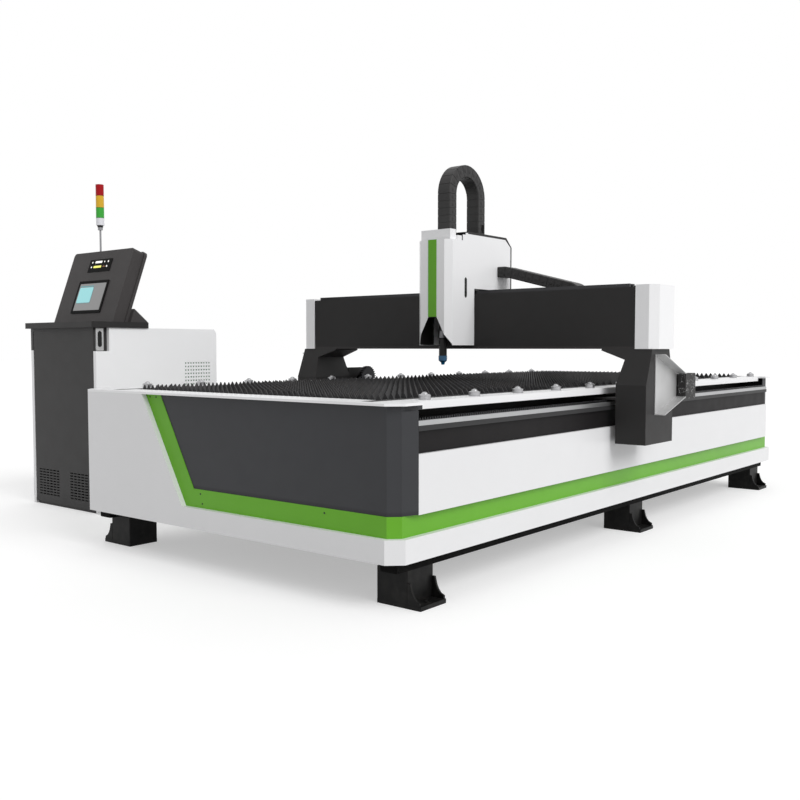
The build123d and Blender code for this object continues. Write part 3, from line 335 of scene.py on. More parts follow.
foot_coat = powder_coat("black_foot_coat", (0.0045,) * 3, 0.45, low_dust=0.03, shine=0.14)
ledge_coat = powder_coat("dark_ledge_coat", (0.03, 0.03, 0.031), 0.5)
frame_coat = powder_coat("black_frame_coat", (0.002,) * 3, 0.6, low_dust=0.02, shine=0.04)
dark_coat = powder_coat("satin_black_coat", (0.024, 0.023, 0.023), 0.5)
leg_coat = powder_coat("satin_black_leg_coat", (0.022, 0.021, 0.021), 0.48)
low_beam_coat = powder_coat("satin_black_low_beam_coat", (0.009, 0.008, 0.0085), 0.5, shine=0.12)
grey_coat = powder_coat("satin_grey_coat", (0.034, 0.033, 0.033), 0.46)
desk_coat = powder_coat("satin_dark_desk_coat", (0.026, 0.025, 0.025), 0.46)
white_coat = powder_coat("white_coat", (0.8, 0.8, 0.81), 0.36, film=0.012, coat=0.1)
bright_coat = powder_coat("bright_white_coat", (0.9, 0.9, 0.91), 0.36, film=0.01, coat=0.1)
green_coat = powder_coat("green_coat", (0.135, 0.41, 0.022), 0.36, film=0.04, coat=0.05)
console_coat = powder_coat("textured_console_coat", (0.052, 0.048, 0.048), 0.55, peel=3.2)
# A darkened copy of the band green: painted shade for the guard behind the vent holes.
shaded_guard_green = powder_coat("dark_green_guard_coat", (0.02, 0.16, 0.045), 0.6)
print("coats", [m.name for m in bpy.data.materials if "coat" in m.name])

# %% [markdown]
# Three sheets carry one more mark, laid over their coat with a mask on the object coordinates.
# The end covers are dark right above the green band: a painted shadow of the step over the band.
# The beam is paler below its lower fold: a painted highlight on its lower flange. The cabinet's
# left shell is painted dark over its front top corner, standing for a notch that is not cut.


# %% Coats with a mark
# Painted shadow: a dark band just above the green band, for the shade under the cover's step.
def painted_shadow_gap(finish):
    height = finish.along("Z")
    return (1 - height.between(0.37, 0.381)) * height.between(0.355, 0.36) * 0.6


# Painted highlight: paler below the beam's lower fold, for light on its lower flange.
def painted_hem_highlight(finish):
    return (1 - finish.along("Z").between(0.986, 0.988)) * 0.8


# Dark over the front top corner, painted to stand for a notch and its dark recess.
def painted_notch(finish):
    return finish.along("Z").between(0.964, 0.966) * (1 - finish.along("Y").between(-1.513, -1.512))


# The cover's mark is a painted shadow above the green band.
cover_coat = powder_coat(
    "satin_grey_cover_coat", (0.042, 0.043, 0.047), 0.46, mark=(painted_shadow_gap, (0.024, 0.022, 0.027))
)
# The beam's mark is a painted highlight below its lower fold.
beam_coat = powder_coat(
    "satin_black_beam_coat", (0.021, 0.02, 0.02), 0.5, mark=(painted_hem_highlight, (0.038, 0.035, 0.035))
)
# The left shell's mark is a dark corner painted in place of a notch.
left_shell_coat = powder_coat(
    "white_shell_coat", (0.9, 0.9, 0.91), 0.36, film=0.01, coat=0.1,
    mark=(painted_notch, (0.037, 0.036, 0.036)),
)
print("masked coats ready")

# %% [markdown]
# Bare metal comes as ground rails and racks, cast and milled aluminium, and bright pressed ball
# cups. Grinding leaves lines along the bar, so the noise is squeezed across it and stretched along
# it. The lines only change roughness and the bump: the colour of steel hardly varies.


# %% Ground steel, aluminium and bright pressed steel
def metal(name, colour, rough, stretch, depth=0.00003, stain=0.1):
    finish = Finish(name, Metallic=1.0)
    lines = finish.noise(1.0, 2, stretch)
    spots = finish.noise(7, 5)
    stained = spots.between(0.45, 0.85) * stain
    finish.feed("Base_Color", finish.mix(stained, colour, shade(colour, 0.55)))
    finish.feed("Roughness", rough + (lines - 0.5) * 0.22 + (spots - 0.5) * 0.16)
    finish.bump(lines, depth, 0.4)
    return finish.material


rail_steel = metal("blackened_steel_along_bed", (0.055, 0.055, 0.058), 0.34, (1400, 9, 1400))
cross_steel = metal("blackened_steel_across_bed", (0.045, 0.045, 0.047), 0.36, (9, 1400, 1400))
bright_steel = metal(
    "bright_pressed_steel", (0.44, 0.44, 0.45), 0.32, (420, 420, 20), 0.0001, stain=0.2
)
lock_steel = metal("brushed_lock_steel", (0.7, 0.7, 0.7), 0.45, (9, 9, 700), stain=0.04)
ledge_metal = metal("milled_aluminium", (0.46, 0.465, 0.47), 0.42, (800, 6, 800))
pole_metal = metal("brushed_pole_steel", (0.26, 0.26, 0.27), 0.35, (900, 900, 8))
pressed = Finish("zinc_plated_sheet", Metallic=0.85)
spangle = pressed.noise(14, 5)
zinc = pressed.mix(pressed.noise(3, 2).between(0.3, 0.7), (0.5, 0.5, 0.5), (0.62, 0.62, 0.62))
pressed.feed("Base_Color", pressed.mix(spangle.between(0.5, 0.8) * 0.15, zinc, (0.3, 0.3, 0.3)))
pressed.feed("Roughness", 0.46 + spangle * 0.12)
pressed.bump(spangle, 0.0002, 0.3)
bracket_metal = pressed.material
screw_steel = metal("blackened_screw_steel", (0.16, 0.16, 0.165), 0.4, (90, 90, 90))
print("metals ready")

# %% [markdown]
# Slats and slag pans are hot rolled plate. They leave the mill dark and bluish, and the arc leaves
# soot, a brown heat tint near the tips and rough slag. The tint follows the height and the spots
# follow a cellular pattern, so that no two teeth are alike.


# %% Dark hot rolled plate
def hot_rolled(name, colour, tint_low, tint_high):
    finish = Finish(name, Metallic=0.35)
    scale = finish.noise(19, 5)
    spots = finish.node("ShaderNodeTexVoronoi", None, {"Vector": finish.place, "Scale": 85})
    tint = finish.along("Z").between(tint_low, tint_high) * finish.noise(6, 3).between(0.3, 0.7)
    tone = finish.mix(scale.between(0.35, 0.7), shade(colour, 0.75), shade(colour, 1.3))
    tone = finish.mix(tint * 0.35, tone, (0.05, 0.041, 0.036))
    tone = finish.mix((1 - spots.between(0.0, 0.3)) * scale * 0.5, tone, (0.1, 0.098, 0.1))
    finish.feed("Base_Color", tone)
    finish.feed("Roughness", 0.5 + scale * 0.2)
    finish.bump(scale + (1 - spots) * 0.6, 0.0006, 0.45)
    return finish.material


slat_plate = hot_rolled("hot_rolled_slat_plate", (0.036, 0.036, 0.038), 0.765, 0.802)
pan_plate = hot_rolled("sooty_pan_plate", (0.028, 0.028, 0.029), 0.0, 0.4)
print("plate ready")

# %% [markdown]
# Moulded parts: nylon chain links with a fine spark-eroded grain, ribbed motor housings, the glossy
# blue torch tip, the white tower base and its clear coloured lenses. Grain is a small even noise
# for all of them, and only the size of the grain and the gloss change.


# %% Moulded plastics and lenses
def moulded(name, colour, rough, grain=900, depth=0.00012, coat=0.0, wear=0.06, shine=0.3):
    finish = Finish(name, Coat_Weight=coat, Coat_Roughness=0.08, Specular_IOR_Level=shine)
    fine = finish.noise(grain, 2)
    hand = finish.noise(9, 4)
    tone = finish.mix(hand.between(0.35, 0.7), shade(colour, 1 - wear), shade(colour, 1 + wear))
    finish.feed("Base_Color", tone)
    finish.feed("Roughness", rough + (hand - 0.5) * 0.14 + (fine - 0.5) * 0.06)
    finish.bump(fine, depth, 0.35)
    return finish.material


chain_nylon = moulded("black_chain_nylon", (0.027, 0.026, 0.026), 0.45, wear=0.12)
soft_black = moulded("black_moulding", (0.012, 0.012, 0.012), 0.4)
glass_black = moulded("black_display_frame", (0.002, 0.002, 0.002), 0.6, wear=0.02, shine=0.08)
tip_blue = moulded("glossy_blue_tip", (0.01, 0.11, 0.24), 0.25, coat=0.25, wear=0.15)
white_plastic = moulded("white_moulding", (0.78, 0.78, 0.82), 0.32, coat=0.2, wear=0.015)
lens_red = moulded("red_lens", (0.38, 0.006, 0.011), 0.3, shine=0.15)
lens_amber = moulded("amber_lens", (0.76, 0.45, 0.035), 0.3, shine=0.2)
lens_green = moulded("green_lens", (0.05, 0.41, 0.05), 0.3, shine=0.2)
cast = Finish("rough_cast_motor_black", Metallic=0.2, Specular_IOR_Level=0.4)
chips = cast.node("ShaderNodeTexVoronoi", None, {"Vector": cast.place, "Scale": 120})
worn = (1 - chips.between(0.12, 0.45)) * cast.noise(33, 3).between(0.44, 0.6)
cast.feed("Base_Color", cast.mix(worn, (0.014, 0.013, 0.013), (0.42, 0.42, 0.42)))
cast.feed("Roughness", 0.55 - worn * 0.2)
cast.bump(worn + cast.noise(240, 2) * 0.4, 0.0008, 0.6)
motor_black = cast.material
print("plastics ready")

# %% [markdown]
# The console shows a lit picture and two rows of small lamps. Light that a display sends out is
# emission, not paint, so these finishes glow a little over a dark base. A faint grid of fine
# lines stands for the display's own raster.


# %% Display and lamp finishes
def glowing(name, colour, glow, raster=0.06):
    finish = Finish(name, Roughness=0.22, Coat_Weight=0.5, Emission_Strength=glow)
    lines = finish.node(
        "ShaderNodeTexWave", {"bands_direction": "Z"}, {"Vector": finish.place, "Scale": 180}, out=1
    )
    tone = finish.mix(lines * raster, colour, shade(colour, 0.5))
    finish.feed("Base_Color", finish.mix(0.5, tone, (0.02, 0.02, 0.02)))
    finish.feed("Emission_Color", tone)
    return finish.material


display_grey = glowing("display_grey", (0.2, 0.2, 0.2), 0.5)
display_cyan = glowing("display_cyan", (0.27, 0.68, 0.71), 0.6)
display_teal = glowing("display_teal", (0.06, 0.3, 0.33), 0.5)
lamp_white = glowing("indicator_white", (0.95, 0.95, 0.9), 0.9, 0.0)
lamp_yellow = glowing("indicator_yellow", (0.8, 0.8, 0.1), 0.9, 0.0)
lamp_orange = glowing("indicator_orange", (0.4, 0.16, 0.03), 0.6, 0.0)
print("display ready")

# %% [markdown]
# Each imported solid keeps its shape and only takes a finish. One table says which, by node, so that
# it is easy to see that none is left out.

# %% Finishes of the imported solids
finish_of = {
    foot_coat: "feet",
    frame_coat: "bed_frame",
    ledge_coat: "ledges",
    beam_coat: "gantry_beam",
    dark_coat: "carriage_frame carriage_shell z_actuator torch_slide x_motor",
    leg_coat: "gantry_legs",
    low_beam_coat: "side_beams",
    grey_coat: "cabinet_body cabinet_door",
    desk_coat: "desk_top",
    cover_coat: "end_covers",
    white_coat: "end_panels side_panels",
    bright_coat: "top_frame cabinet_side_right beam_end_caps carriage_cover carriage_side_plates",
    left_shell_coat: "cabinet_side_left",
    green_coat: "green_bands cover_stripe",
    console_coat: "console_housing",
    ledge_metal: "chain_tray drive_units",
    bracket_metal: "drive_brackets",
    rail_steel: "y_rails y_racks y_bearing_blocks y_pinion_left y_pinion_right",
    cross_steel: "x_rails x_rack x_bearing_blocks x_pinion",
    pole_metal: "tower_pole",
    bright_steel: "ball_cups balls",
    lock_steel: "door_lock",
    slat_plate: "slats",
    pan_plate: "slag_pans",
    chain_nylon: "x_chain_upper x_chain_lower x_chain_bend z_chain_front z_chain_rear z_chain_bend",
    motor_black: "y_motors",
    soft_black: "torch_body",
    glass_black: "indicator_panel touch_screen",
    tip_blue: "torch_nozzle",
    white_plastic: "tower_base",
    lens_red: "lamp_red",
    lens_amber: "lamp_amber",
    lens_green: "lamp_green",
}
finished = []
for finish, names in finish_of.items():
    for name in names.split():
        for place in nodes[name].material_slots:
            place.material = finish
        finished.append(name)
print("finished", len(finished), "left", sorted(set(nodes) - set(finished)))

# %% [markdown]
# The slats are the machine's own pattern: a plate every 80 mm, with a tooth every 32 mm. A tree of
# geometry nodes draws one plate by rule: a line of points, every other one pushed down to the
# valley, pulled down to a flat foot and given its thickness. Then it sets one plate on each point
# of a second line. Typing the outline would also work, but here every size stays a named input.


# %% Tools for node trees that make meshes
class Grower(Tree):
    """A geometry node tree with named inputs."""

    def __init__(self, name, inputs):
        super().__init__(bpy.data.node_groups.new(name, "GeometryNodeTree"))
        add = self.tree.interface.new_socket
        for title, kind in inputs.items():
            add(title, in_out="INPUT", socket_type="NodeSocket" + kind)
        add("Geometry", in_out="OUTPUT", socket_type="NodeSocketGeometry")
        sockets = self.tree.nodes.new("NodeGroupInput").outputs
        self.given = {title: Wire(self, sockets[title]) for title in inputs}
        self.result = self.tree.nodes.new("NodeGroupOutput").inputs[0]

    def vector(self, **axes):
        """A vector from the axes that are given, the others being 0."""
        wires = {axis.upper(): value for axis, value in axes.items()}
        return self.node("ShaderNodeCombineXYZ", None, wires)

    def scaled(self, vector, factor):
        wires = {0: vector, "Scale": factor}
        return self.node("ShaderNodeVectorMath", {"operation": "SCALE"}, wires)

    def total(self, first, second):
        return self.node("ShaderNodeVectorMath", {"operation": "ADD"}, {0: first, 1: second})

    def finish(self, geometry):
        """Realize the copies, set the finish and close the tree."""
        real = self.node("GeometryNodeRealizeInstances", None, {0: geometry})
        done = self.node(
            "GeometryNodeSetMaterial", None, {"Geometry": real, "Material": self.given["Finish"]}
        )
        self.join(self.result, done)

    def grow(self, name, values, sharp=35):
        """Run the tree and keep its result as a plain mesh object."""
        thing = in_scene(name, bpy.data.meshes.new(name))
        run = thing.modifiers.new("grow", "NODES")
        run.node_group = self.tree
        keys = {item.name: item.identifier for item in self.tree.interface.items_tree}
        for title, value in values.items():
            run[keys[title]] = value
        graph = bpy.context.evaluated_depsgraph_get()
        mesh = bpy.data.meshes.new_from_object(thing.evaluated_get(graph), depsgraph=graph)
        thing.modifiers.clear()
        thing.data = mesh
        return tidy(thing, sharp)


print("growers ready")

# %% The slat tree
slats = Grower(
    "toothed_slats",
    {
        "Span": "Float", "Teeth": "Int", "Tip": "Float", "Valley": "Float", "Foot": "Float",
        "Thickness": "Float", "Slats": "Int", "Spacing": "Float", "Finish": "Material",
    },
)
given = slats.given
edge = slats.node(
    "GeometryNodeMeshLine", {"mode": "OFFSET"},
    {
        "Count": given["Teeth"] * 2.0 + 1.0,
        "Start Location": slats.vector(x=given["Span"] * -0.5, z=given["Tip"]),
        "Offset": slats.vector(x=given["Span"] / given["Teeth"] / 2.0),
    },
)
even = 1.0 - slats.node("GeometryNodeInputIndex") % 2.0
drop = slats.vector(z=given["Valley"] - given["Tip"])
toothed = slats.node(
    "GeometryNodeSetPosition", None, {"Geometry": edge, "Selection": even, "Offset": drop}
)
down = slats.vector(z=-0.001)
pulled = slats.node("GeometryNodeExtrudeMesh", {"mode": "EDGES"}, {"Mesh": toothed, "Offset": down})
where = slats.node("ShaderNodeSeparateXYZ", None, {0: slats.node("GeometryNodeInputPosition")})
flat_foot = slats.vector(x=where, z=given["Foot"])
face = slats.node(
    "GeometryNodeSetPosition", None,
    {"Geometry": pulled, "Selection": pulled.beside("Top"), "Position": flat_foot},
)
across = slats.vector(y=given["Thickness"])
thick = slats.node(
    "GeometryNodeExtrudeMesh", {"mode": "FACES"},
    {"Mesh": face, "Offset": across, "Offset Scale": 1.0, "Individual": False},
)
joined = slats.node("GeometryNodeJoinGeometry", None, {0: thick})
slats.join(joined.socket.node.inputs[0], slats.node("GeometryNodeFlipFaces", None, {0: face}))
plate = slats.node("GeometryNodeMergeByDistance", None, {"Geometry": joined, "Distance": 0.00002})
first_y = (given["Slats"] - 1.0) * -0.5 * given["Spacing"] - given["Thickness"] * 0.5
places = slats.node(
    "GeometryNodeMeshLine", {"mode": "OFFSET"},
    {
        "Count": given["Slats"], "Start Location": slats.vector(y=first_y),
        "Offset": slats.vector(y=given["Spacing"]),
    },
)
filled = slats.node("GeometryNodeInstanceOnPoints", None, {"Points": places, "Instance": plate})
slats.finish(filled)
print("slat tree", len(slats.tree.nodes), "nodes")

# %% Grow the slats
low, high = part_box("slats")
slat_field = slats.grow(
    "toothed_slat_field",
    {
        "Span": high[0] - low[0], "Teeth": 48, "Tip": high[2], "Valley": high[2] - 0.026,
        "Foot": low[2], "Thickness": 0.006, "Slats": 49, "Spacing": 0.08, "Finish": slat_plate,
    },
    sharp=20,
)
settle(slat_field, "bed", "slat_steel", "slats")

# %% [markdown]
# Screws, rack teeth, chain links and vent bars all repeat in rows, grids or arcs. One more tree
# does them all: it takes a made piece, counts along a row and along rows of rows, and may turn
# each copy a step further. An arc is a row with no step and only a turn, for a piece drawn at its
# distance from the centre.

# %% The copies tree
rows = Grower(
    "rows_of_copies",
    {
        "Piece": "Object", "Count": "Int", "Start": "Vector", "Step": "Vector", "Rows": "Int",
        "Row Step": "Vector", "Turn": "Vector", "Finish": "Material",
    },
)
given = rows.given
count = given["Count"] * given["Rows"]
spots = rows.node("GeometryNodeMeshLine", {"mode": "OFFSET"}, {"Count": count, "Offset": (0, 0, 0)})
index = rows.node("GeometryNodeInputIndex")
column = index % given["Count"]
row = index.maths("FLOOR", index / given["Count"])
in_row = rows.total(given["Start"], rows.scaled(given["Step"], column))
where = rows.total(in_row, rows.scaled(given["Row Step"], row))
spots = rows.node("GeometryNodeSetPosition", None, {"Geometry": spots, "Position": where})
piece = rows.node("GeometryNodeObjectInfo", None, {"Object": given["Piece"]}, out="Geometry")
spread = rows.node(
    "GeometryNodeInstanceOnPoints", None,
    {"Points": spots, "Instance": piece, "Rotation": rows.scaled(given["Turn"], column)},
)
rows.finish(spread)
print("copies tree", len(rows.tree.nodes), "nodes")


# %% Copies of a drawn piece
STILL = (0, 0, 0)


def copies(name, shape, finish, count, start, step=STILL, rest=1, row_step=STILL, turn=STILL):
    """Rows of one shape as a plain mesh; the drawn piece itself is removed."""
    drawn = shape.made(name + "_pattern")
    grown = rows.grow(
        name,
        {
            "Piece": drawn, "Count": count, "Start": start, "Step": step, "Rows": rest,
            "Row Step": row_step, "Turn": turn, "Finish": finish,
        },
    )
    bpy.data.objects.remove(drawn)
    return grown


def joined_as(name, *things):
    """Several finished meshes as one piece."""
    work = bmesh.new()
    for thing in things:
        work.from_mesh(thing.data)
    mesh = bpy.data.meshes.new(name)
    work.to_mesh(mesh)
    work.free()
    for material in things[0].data.materials:
        mesh.materials.append(material)
    for thing in things:
        bpy.data.objects.remove(thing)
    return tidy(in_scene(name, mesh))


print("copies ready")

# %% [markdown]
# Rack teeth are cut straight: a trapezoid with 20 degree flanks, module 5 along the bed and 2.5
# across it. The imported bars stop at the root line, so the teeth are rows of short prisms that
# stand on them, placed so that each pinion has a tooth space where the rack has a tooth.


# %% Rack teeth
def rack_tooth(module, length):
    """A tooth that points along Z, with its length along X and its root just below 0."""
    quarter, lean = math.pi * module / 4, math.tan(math.radians(20))
    wide, thin = quarter + 1.25 * module * lean, quarter - module * lean
    sunk, top = -0.4 * module / 5, 2.25 * module
    outline = [(-wide, sunk), (wide, sunk), (wide, 0), (thin, top), (-thin, top), (-wide, 0)]
    outline = [(a * 0.001, b * 0.001) for a, b in outline]
    return Shape().prism(outline, -length / 2, length / 2, UPRIGHT)


pitch = math.pi * 0.005
bed_rack_teeth = copies(
    "bed_rack_teeth", rack_tooth(5, 0.0255), rail_steel, 251, (-0.97, -0.005 - 125 * pitch, 0.7095),
    (0, pitch, 0), 2, (1.94, 0, 0),
)
settle(bed_rack_teeth, "bed", "steel")
cross_tooth = rack_tooth(2.5, 0.0158)
cross_tooth.points = [Vector((p.y, p.z, p.x)) for p in cross_tooth.points]
beam_rack_teeth = copies(
    "beam_rack_teeth", cross_tooth, cross_steel, 269, (0.024 - 137 * pitch / 2, -0.295, 1.291),
    (pitch / 2, 0, 0),
)
settle(beam_rack_teeth, "gantry", "steel")

# %% [markdown]
# A rail is screwed down every 60 mm, and each screw hole is closed with a plug so that the bearing
# blocks run over a flat top. The plug is a thin turned disc with a groove round it.

# %% Rail plugs
plug = Shape().lathe(
    [(0, -0.002), (0.0052, -0.002), (0.0052, 0.00004), (0.0046, 0.00012), (0.0042, -0.0003),
     (0.0038, 0.00012), (0, 0.00012)], 12,
)
bed_rail_plugs = copies(
    "bed_rail_plugs", plug, screw_steel, 65, (-0.88, -1.92, 0.711), (0, 0.06, 0), 2, (1.76, 0, 0)
)
settle(bed_rail_plugs, "bed", "steel")
beam_rail_plugs = copies(
    "beam_rail_plugs", plug, screw_steel, 35, (-1.02, -0.345, 1.3), (0.06, 0, 0), 2, (0, 0.165, 0)
)
settle(beam_rail_plugs, "gantry", "steel")

# %% [markdown]
# Ball transfer units let a heavy sheet roll into place. Each is a pressed cup with a flange, a
# rolled rim and one large ball held under the lip. Cup and ball are turned parts, so both are
# profiles spun round, and 24 copies stand along the side bars.

# %% Ball units
unit = Shape().lathe(
    [(0, 0), (0.0242, 0), (0.0246, 0.0008), (0.0246, 0.0028), (0.0236, 0.0034), (0.0236, 0.0142),
     (0.0246, 0.0148), (0.0246, 0.0178), (0.0238, 0.0188), (0.0142, 0.0224), (0.0138, 0.0218),
     (0.0138, 0.019), (0, 0.019)], 24,
)
BALL_RADIUS, BALL_CENTRE, BALL_STEPS = 0.015, 0.016, 12
ball = [(0, BALL_CENTRE - BALL_RADIUS)]
for k in range(1, BALL_STEPS):
    turn = math.pi * k / BALL_STEPS
    ball.append((BALL_RADIUS * math.sin(turn), BALL_CENTRE - BALL_RADIUS * math.cos(turn)))
unit.lathe(ball + [(0, BALL_CENTRE + BALL_RADIUS)], 20)
ball_units = copies(
    "ball_units", unit, bright_steel, 12, (-0.89, -1.805, 0.779), (0, 0.343, 0), 2, (1.78, 0, 0)
)
settle(ball_units, "bed", "steel", "ball_cups", "balls")

# %% [markdown]
# The drag chains are of the closed kind: a smooth nylon tube of short links, each hinged to the
# next on two round bosses, with a fine seam between them. A straight run is a row of one link. A
# bend is an arc of one wedge-shaped link that is drawn at its distance from the centre, because
# straight links would gape on the outside. The runs are fixed where they are; the bends ride on
# bodies of their own.


# %% Chain links
BEVEL, SEAM, SEAM_DEPTH = 0.004, 0.0012, 0.002
BOSS = [(0, -0.001), (0.011, -0.001), (0.011, 0.0007), (0.0095, 0.0013), (0.0035, 0.0013),
        (0.003, 0.0006), (0, 0.0006)]


def with_bosses(link, width, y, z):
    """The link with a hinge boss on each side."""
    for side, axis in ((-1, "-X"), (1, "+X")):
        link.lathe(BOSS, 12, facing(side * width / 2, y, z, axis))
    return link


def run_link(width, thick, length):
    """A straight link along Z, its width along X and its thickness along Y, from Z 0 to length."""
    link = Shape().prism(box_outline(width, thick, BEVEL), SEAM, length - SEAM)
    inner = box_outline(width - 2 * SEAM_DEPTH, thick - 2 * SEAM_DEPTH, BEVEL)
    link.prism(inner, 0.0, length)
    return with_bosses(link, width, 0, length / 2)


def bend_link(outer, inner, width, sweep):
    """A wedge link round X, from angle 0 at +Y towards +Z, with its width along X."""
    link = Shape()
    steps, c = 4, BEVEL
    for shrink, trim in ((0.0, SEAM), (SEAM_DEPTH, 0.0)):
        a, b, w = outer - shrink, inner + shrink, width / 2 - shrink
        section = [(-w, b + c), (-w + c, b), (w - c, b), (w, b + c),
                   (w, a - c), (w - c, a), (-w + c, a), (-w, a - c)]
        start = trim / ((a + b) / 2)
        points, faces = [], []
        for step in range(steps + 1):
            turn = start + (sweep - 2 * start) * step / steps
            points += [(x, r * math.cos(turn), r * math.sin(turn)) for x, r in section]
        for step in range(steps):
            for k in range(8):
                i, j = step * 8 + k, step * 8 + (k + 1) % 8
                faces.append([i, j, j + 8, i + 8])
        faces += [list(range(8))[::-1], [steps * 8 + k for k in range(8)]]
        link.add(points, faces)
    middle, turn = (outer + inner) / 2, sweep / 2
    return with_bosses(link, width, middle * math.cos(turn), middle * math.sin(turn))


print("links drawn", len(run_link(0.084, 0.068, 0.042).faces), "faces each")

# %% Lifting chain
front_low, front_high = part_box("z_chain_front")
rear_low, rear_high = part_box("z_chain_rear")
front_step = (front_high[2] - front_low[2]) / 5
rear_step = (rear_high[2] - rear_low[2]) / 5
lift_front = copies(
    "lifting_chain_front_run", run_link(0.084, 0.068, front_step), chain_nylon, 5,
    (0.024, -0.471, front_low[2]), (0, 0, front_step),
)
settle(lift_front, None, "chain_plastic", "z_chain_front")
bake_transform(lift_front)
lift_rear = copies(
    "lifting_chain_rear_run", run_link(0.084, 0.068, rear_step), chain_nylon, 5,
    (0.024, -0.191, rear_low[2]), (0, 0, rear_step),
)
settle(lift_rear, None, "chain_plastic", "z_chain_rear")
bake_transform(lift_rear)
sweep = math.pi / 10
lift_bend = copies(
    "lifting_chain_bend", bend_link(0.174, 0.106, 0.084, sweep), chain_nylon, 10,
    (0.024, -0.331, 1.83), turn=(sweep, 0, 0),
)
settle(lift_bend, "lift_bend", "chain_plastic", "z_chain_bend")

# %% [markdown]
# The cross chain leaves the carriage level, leans down to its bend and lies back in a tray behind
# the beam. Its links are turned onto that path: the drawn link stands upright, so it is laid over
# with one matrix before it is copied.

# %% Cross chain
slope = math.radians(14.4)
CROSS_WIDE, CROSS_THICK, CROSS_Y = 0.109, 0.059, -0.0795
LOWER_LINKS, UPPER_LINKS = 11, 9


def laid(length, lean=0.0):
    """A cross chain link laid along X, leaning down by an angle."""
    link = run_link(CROSS_WIDE, CROSS_THICK, length)
    turn = Matrix.Rotation(lean, 4, "Y") @ UPRIGHT
    link.points = [turn @ p for p in link.points]
    return link


lower_step = 0.4867 / LOWER_LINKS
cross_lower = copies(
    "cross_chain_lower_run", laid(lower_step), chain_nylon, LOWER_LINKS,
    (0.1, CROSS_Y, 1.1905), (lower_step, 0, 0),
)
settle(cross_lower, None, "chain_plastic", "x_chain_lower")
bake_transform(cross_lower)
mean_radius, clamp_x, run_z = 0.0605, 0.137, 1.4165
far = Vector((0.587, CROSS_Y, 1.251)) + mean_radius * Vector((math.sin(slope), 0, math.cos(slope)))
near = Vector((0.19 - CROSS_THICK / 2 * math.tan(slope / 2), CROSS_Y, run_z))
upper_step = (far - near) / UPPER_LINKS
tilt = math.atan2(near.z - far.z, far.x - near.x)
cross_slope = copies(
    "cross_chain_slope", laid(upper_step.length, tilt), chain_nylon, UPPER_LINKS, near,
    tuple(upper_step),
)
clamp = copies(
    "cross_chain_clamp_link", laid(near.x - clamp_x + 0.002), chain_nylon, 1,
    (clamp_x, CROSS_Y, run_z),
)
cross_upper = joined_as("cross_chain_upper_run", clamp, cross_slope)
settle(cross_upper, None, "chain_plastic", "x_chain_upper")
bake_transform(cross_upper)
sweep = (math.pi - slope) / 4
wedge = bend_link(0.09, 0.031, CROSS_WIDE, sweep)
quarter = math.pi / 2
mirror = Matrix.Scale(-1, 4, (1, 0, 0))
turn = Matrix.Rotation(quarter, 4, "Y") @ mirror @ Matrix.Rotation(quarter, 4, "Z")
wedge.points = [turn @ p for p in wedge.points]
cross_bend = copies(
    "cross_chain_bend", wedge, chain_nylon, 4, (0.587, CROSS_Y, 1.251), turn=(0, -sweep, 0)
)
settle(cross_bend, "cross_bend", "chain_plastic", "x_chain_bend")

# %% [markdown]
# The cabinet's vents. The door is punched with rows of short slots, six to a row; the imported door
# has one long slot for each row, so upright bars divide them. The right shell has ten rows of
# round holes over a green guard, its green darkened as painted shade seen through the holes.
# Round holes are cut as a ring of faces between a square and a circle, which keeps the sheet
# open, and one cell is copied to the whole grid.

# %% Door bars
bar = Shape().prism(box_outline(0.01, 0.004, 0.0008), 0.0, 0.176)
door_bars = copies(
    "door_vent_bars", bar, grey_coat, 5, (-2.306, -1.5722, 0.0575), (0.039, 0, 0), 2, (0.346, 0, 0)
)
settle(door_bars, "door", "grey_paint")


# %% Round vent holes
def holed_cell(width, height, radius, depth, steps=16):
    """A small sheet in X and Y, from Z 0 down to -depth, with one round hole."""
    cell = Shape()
    points, faces = [], []
    for z in (0, -depth):
        for k in range(steps):
            turn = 2 * math.pi * (k + 0.5) / steps
            c, s = math.cos(turn), math.sin(turn)
            far = min(width / 2 / abs(c), height / 2 / abs(s))
            points += [(far * c, far * s, z), (radius * c, radius * s, z)]
    for k in range(steps):
        a, b = 2 * k, 2 * ((k + 1) % steps)
        c, d = a + 2 * steps, b + 2 * steps
        faces += [[a, b, b + 1, a + 1], [c + 1, d + 1, d, c]]
        faces += [[a + 1, b + 1, d + 1, c + 1], [b, a, c, d]]
    return cell.add(points, faces, facing(0, 0, 0, "+X"))


vent_cells = copies(
    "vent_hole_cells", holed_cell(0.0112, 0.0212, 0.0052, 0.0035), bright_coat, 10,
    (-1.7003, -0.9255, 0.8835), (0, 0.0209, 0), 10, (0, 0, -0.0223),
)
settle(vent_cells, "bed", "white_paint")
guard = Shape().prism(box_outline(0.0108, 0.208), 0, 0.0015, facing(0, 0, 0, "+X"))
# The guard's darker green is painted shade seen through the holes.
vent_guard = copies(
    "vent_guard", guard, shaded_guard_green, 1, (-1.7066, -0.8315, 0.8835), (0, 0, 0), 10, (0, 0, -0.0223)
)
settle(vent_guard, "bed", "green_paint")

# %% [markdown]
# The console. Its display and lamps lie on the tilted face, so they are drawn in the face's own
# plane, with X to the right, Y up the slope and Z out of it, and one matrix carries them there.
# The stand behind it is a folded wedge as wide as the desk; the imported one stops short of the
# sides, so two wings of the same profile complete it.

# %% Display and lamps
tilt_angle = math.radians(19.8)
rise, lean = math.cos(tilt_angle), math.sin(tilt_angle)
console = Matrix(
    ((1, 0, 0, -2.376), (0, lean, -rise, -1.436), (0, rise, lean, 1.135), (0, 0, 0, 1))
)


def on_console(shape, name, finish):
    shape.points = [console @ p for p in shape.points]
    return settle(shape.made(name, finish), "bed", "screen_plastic")


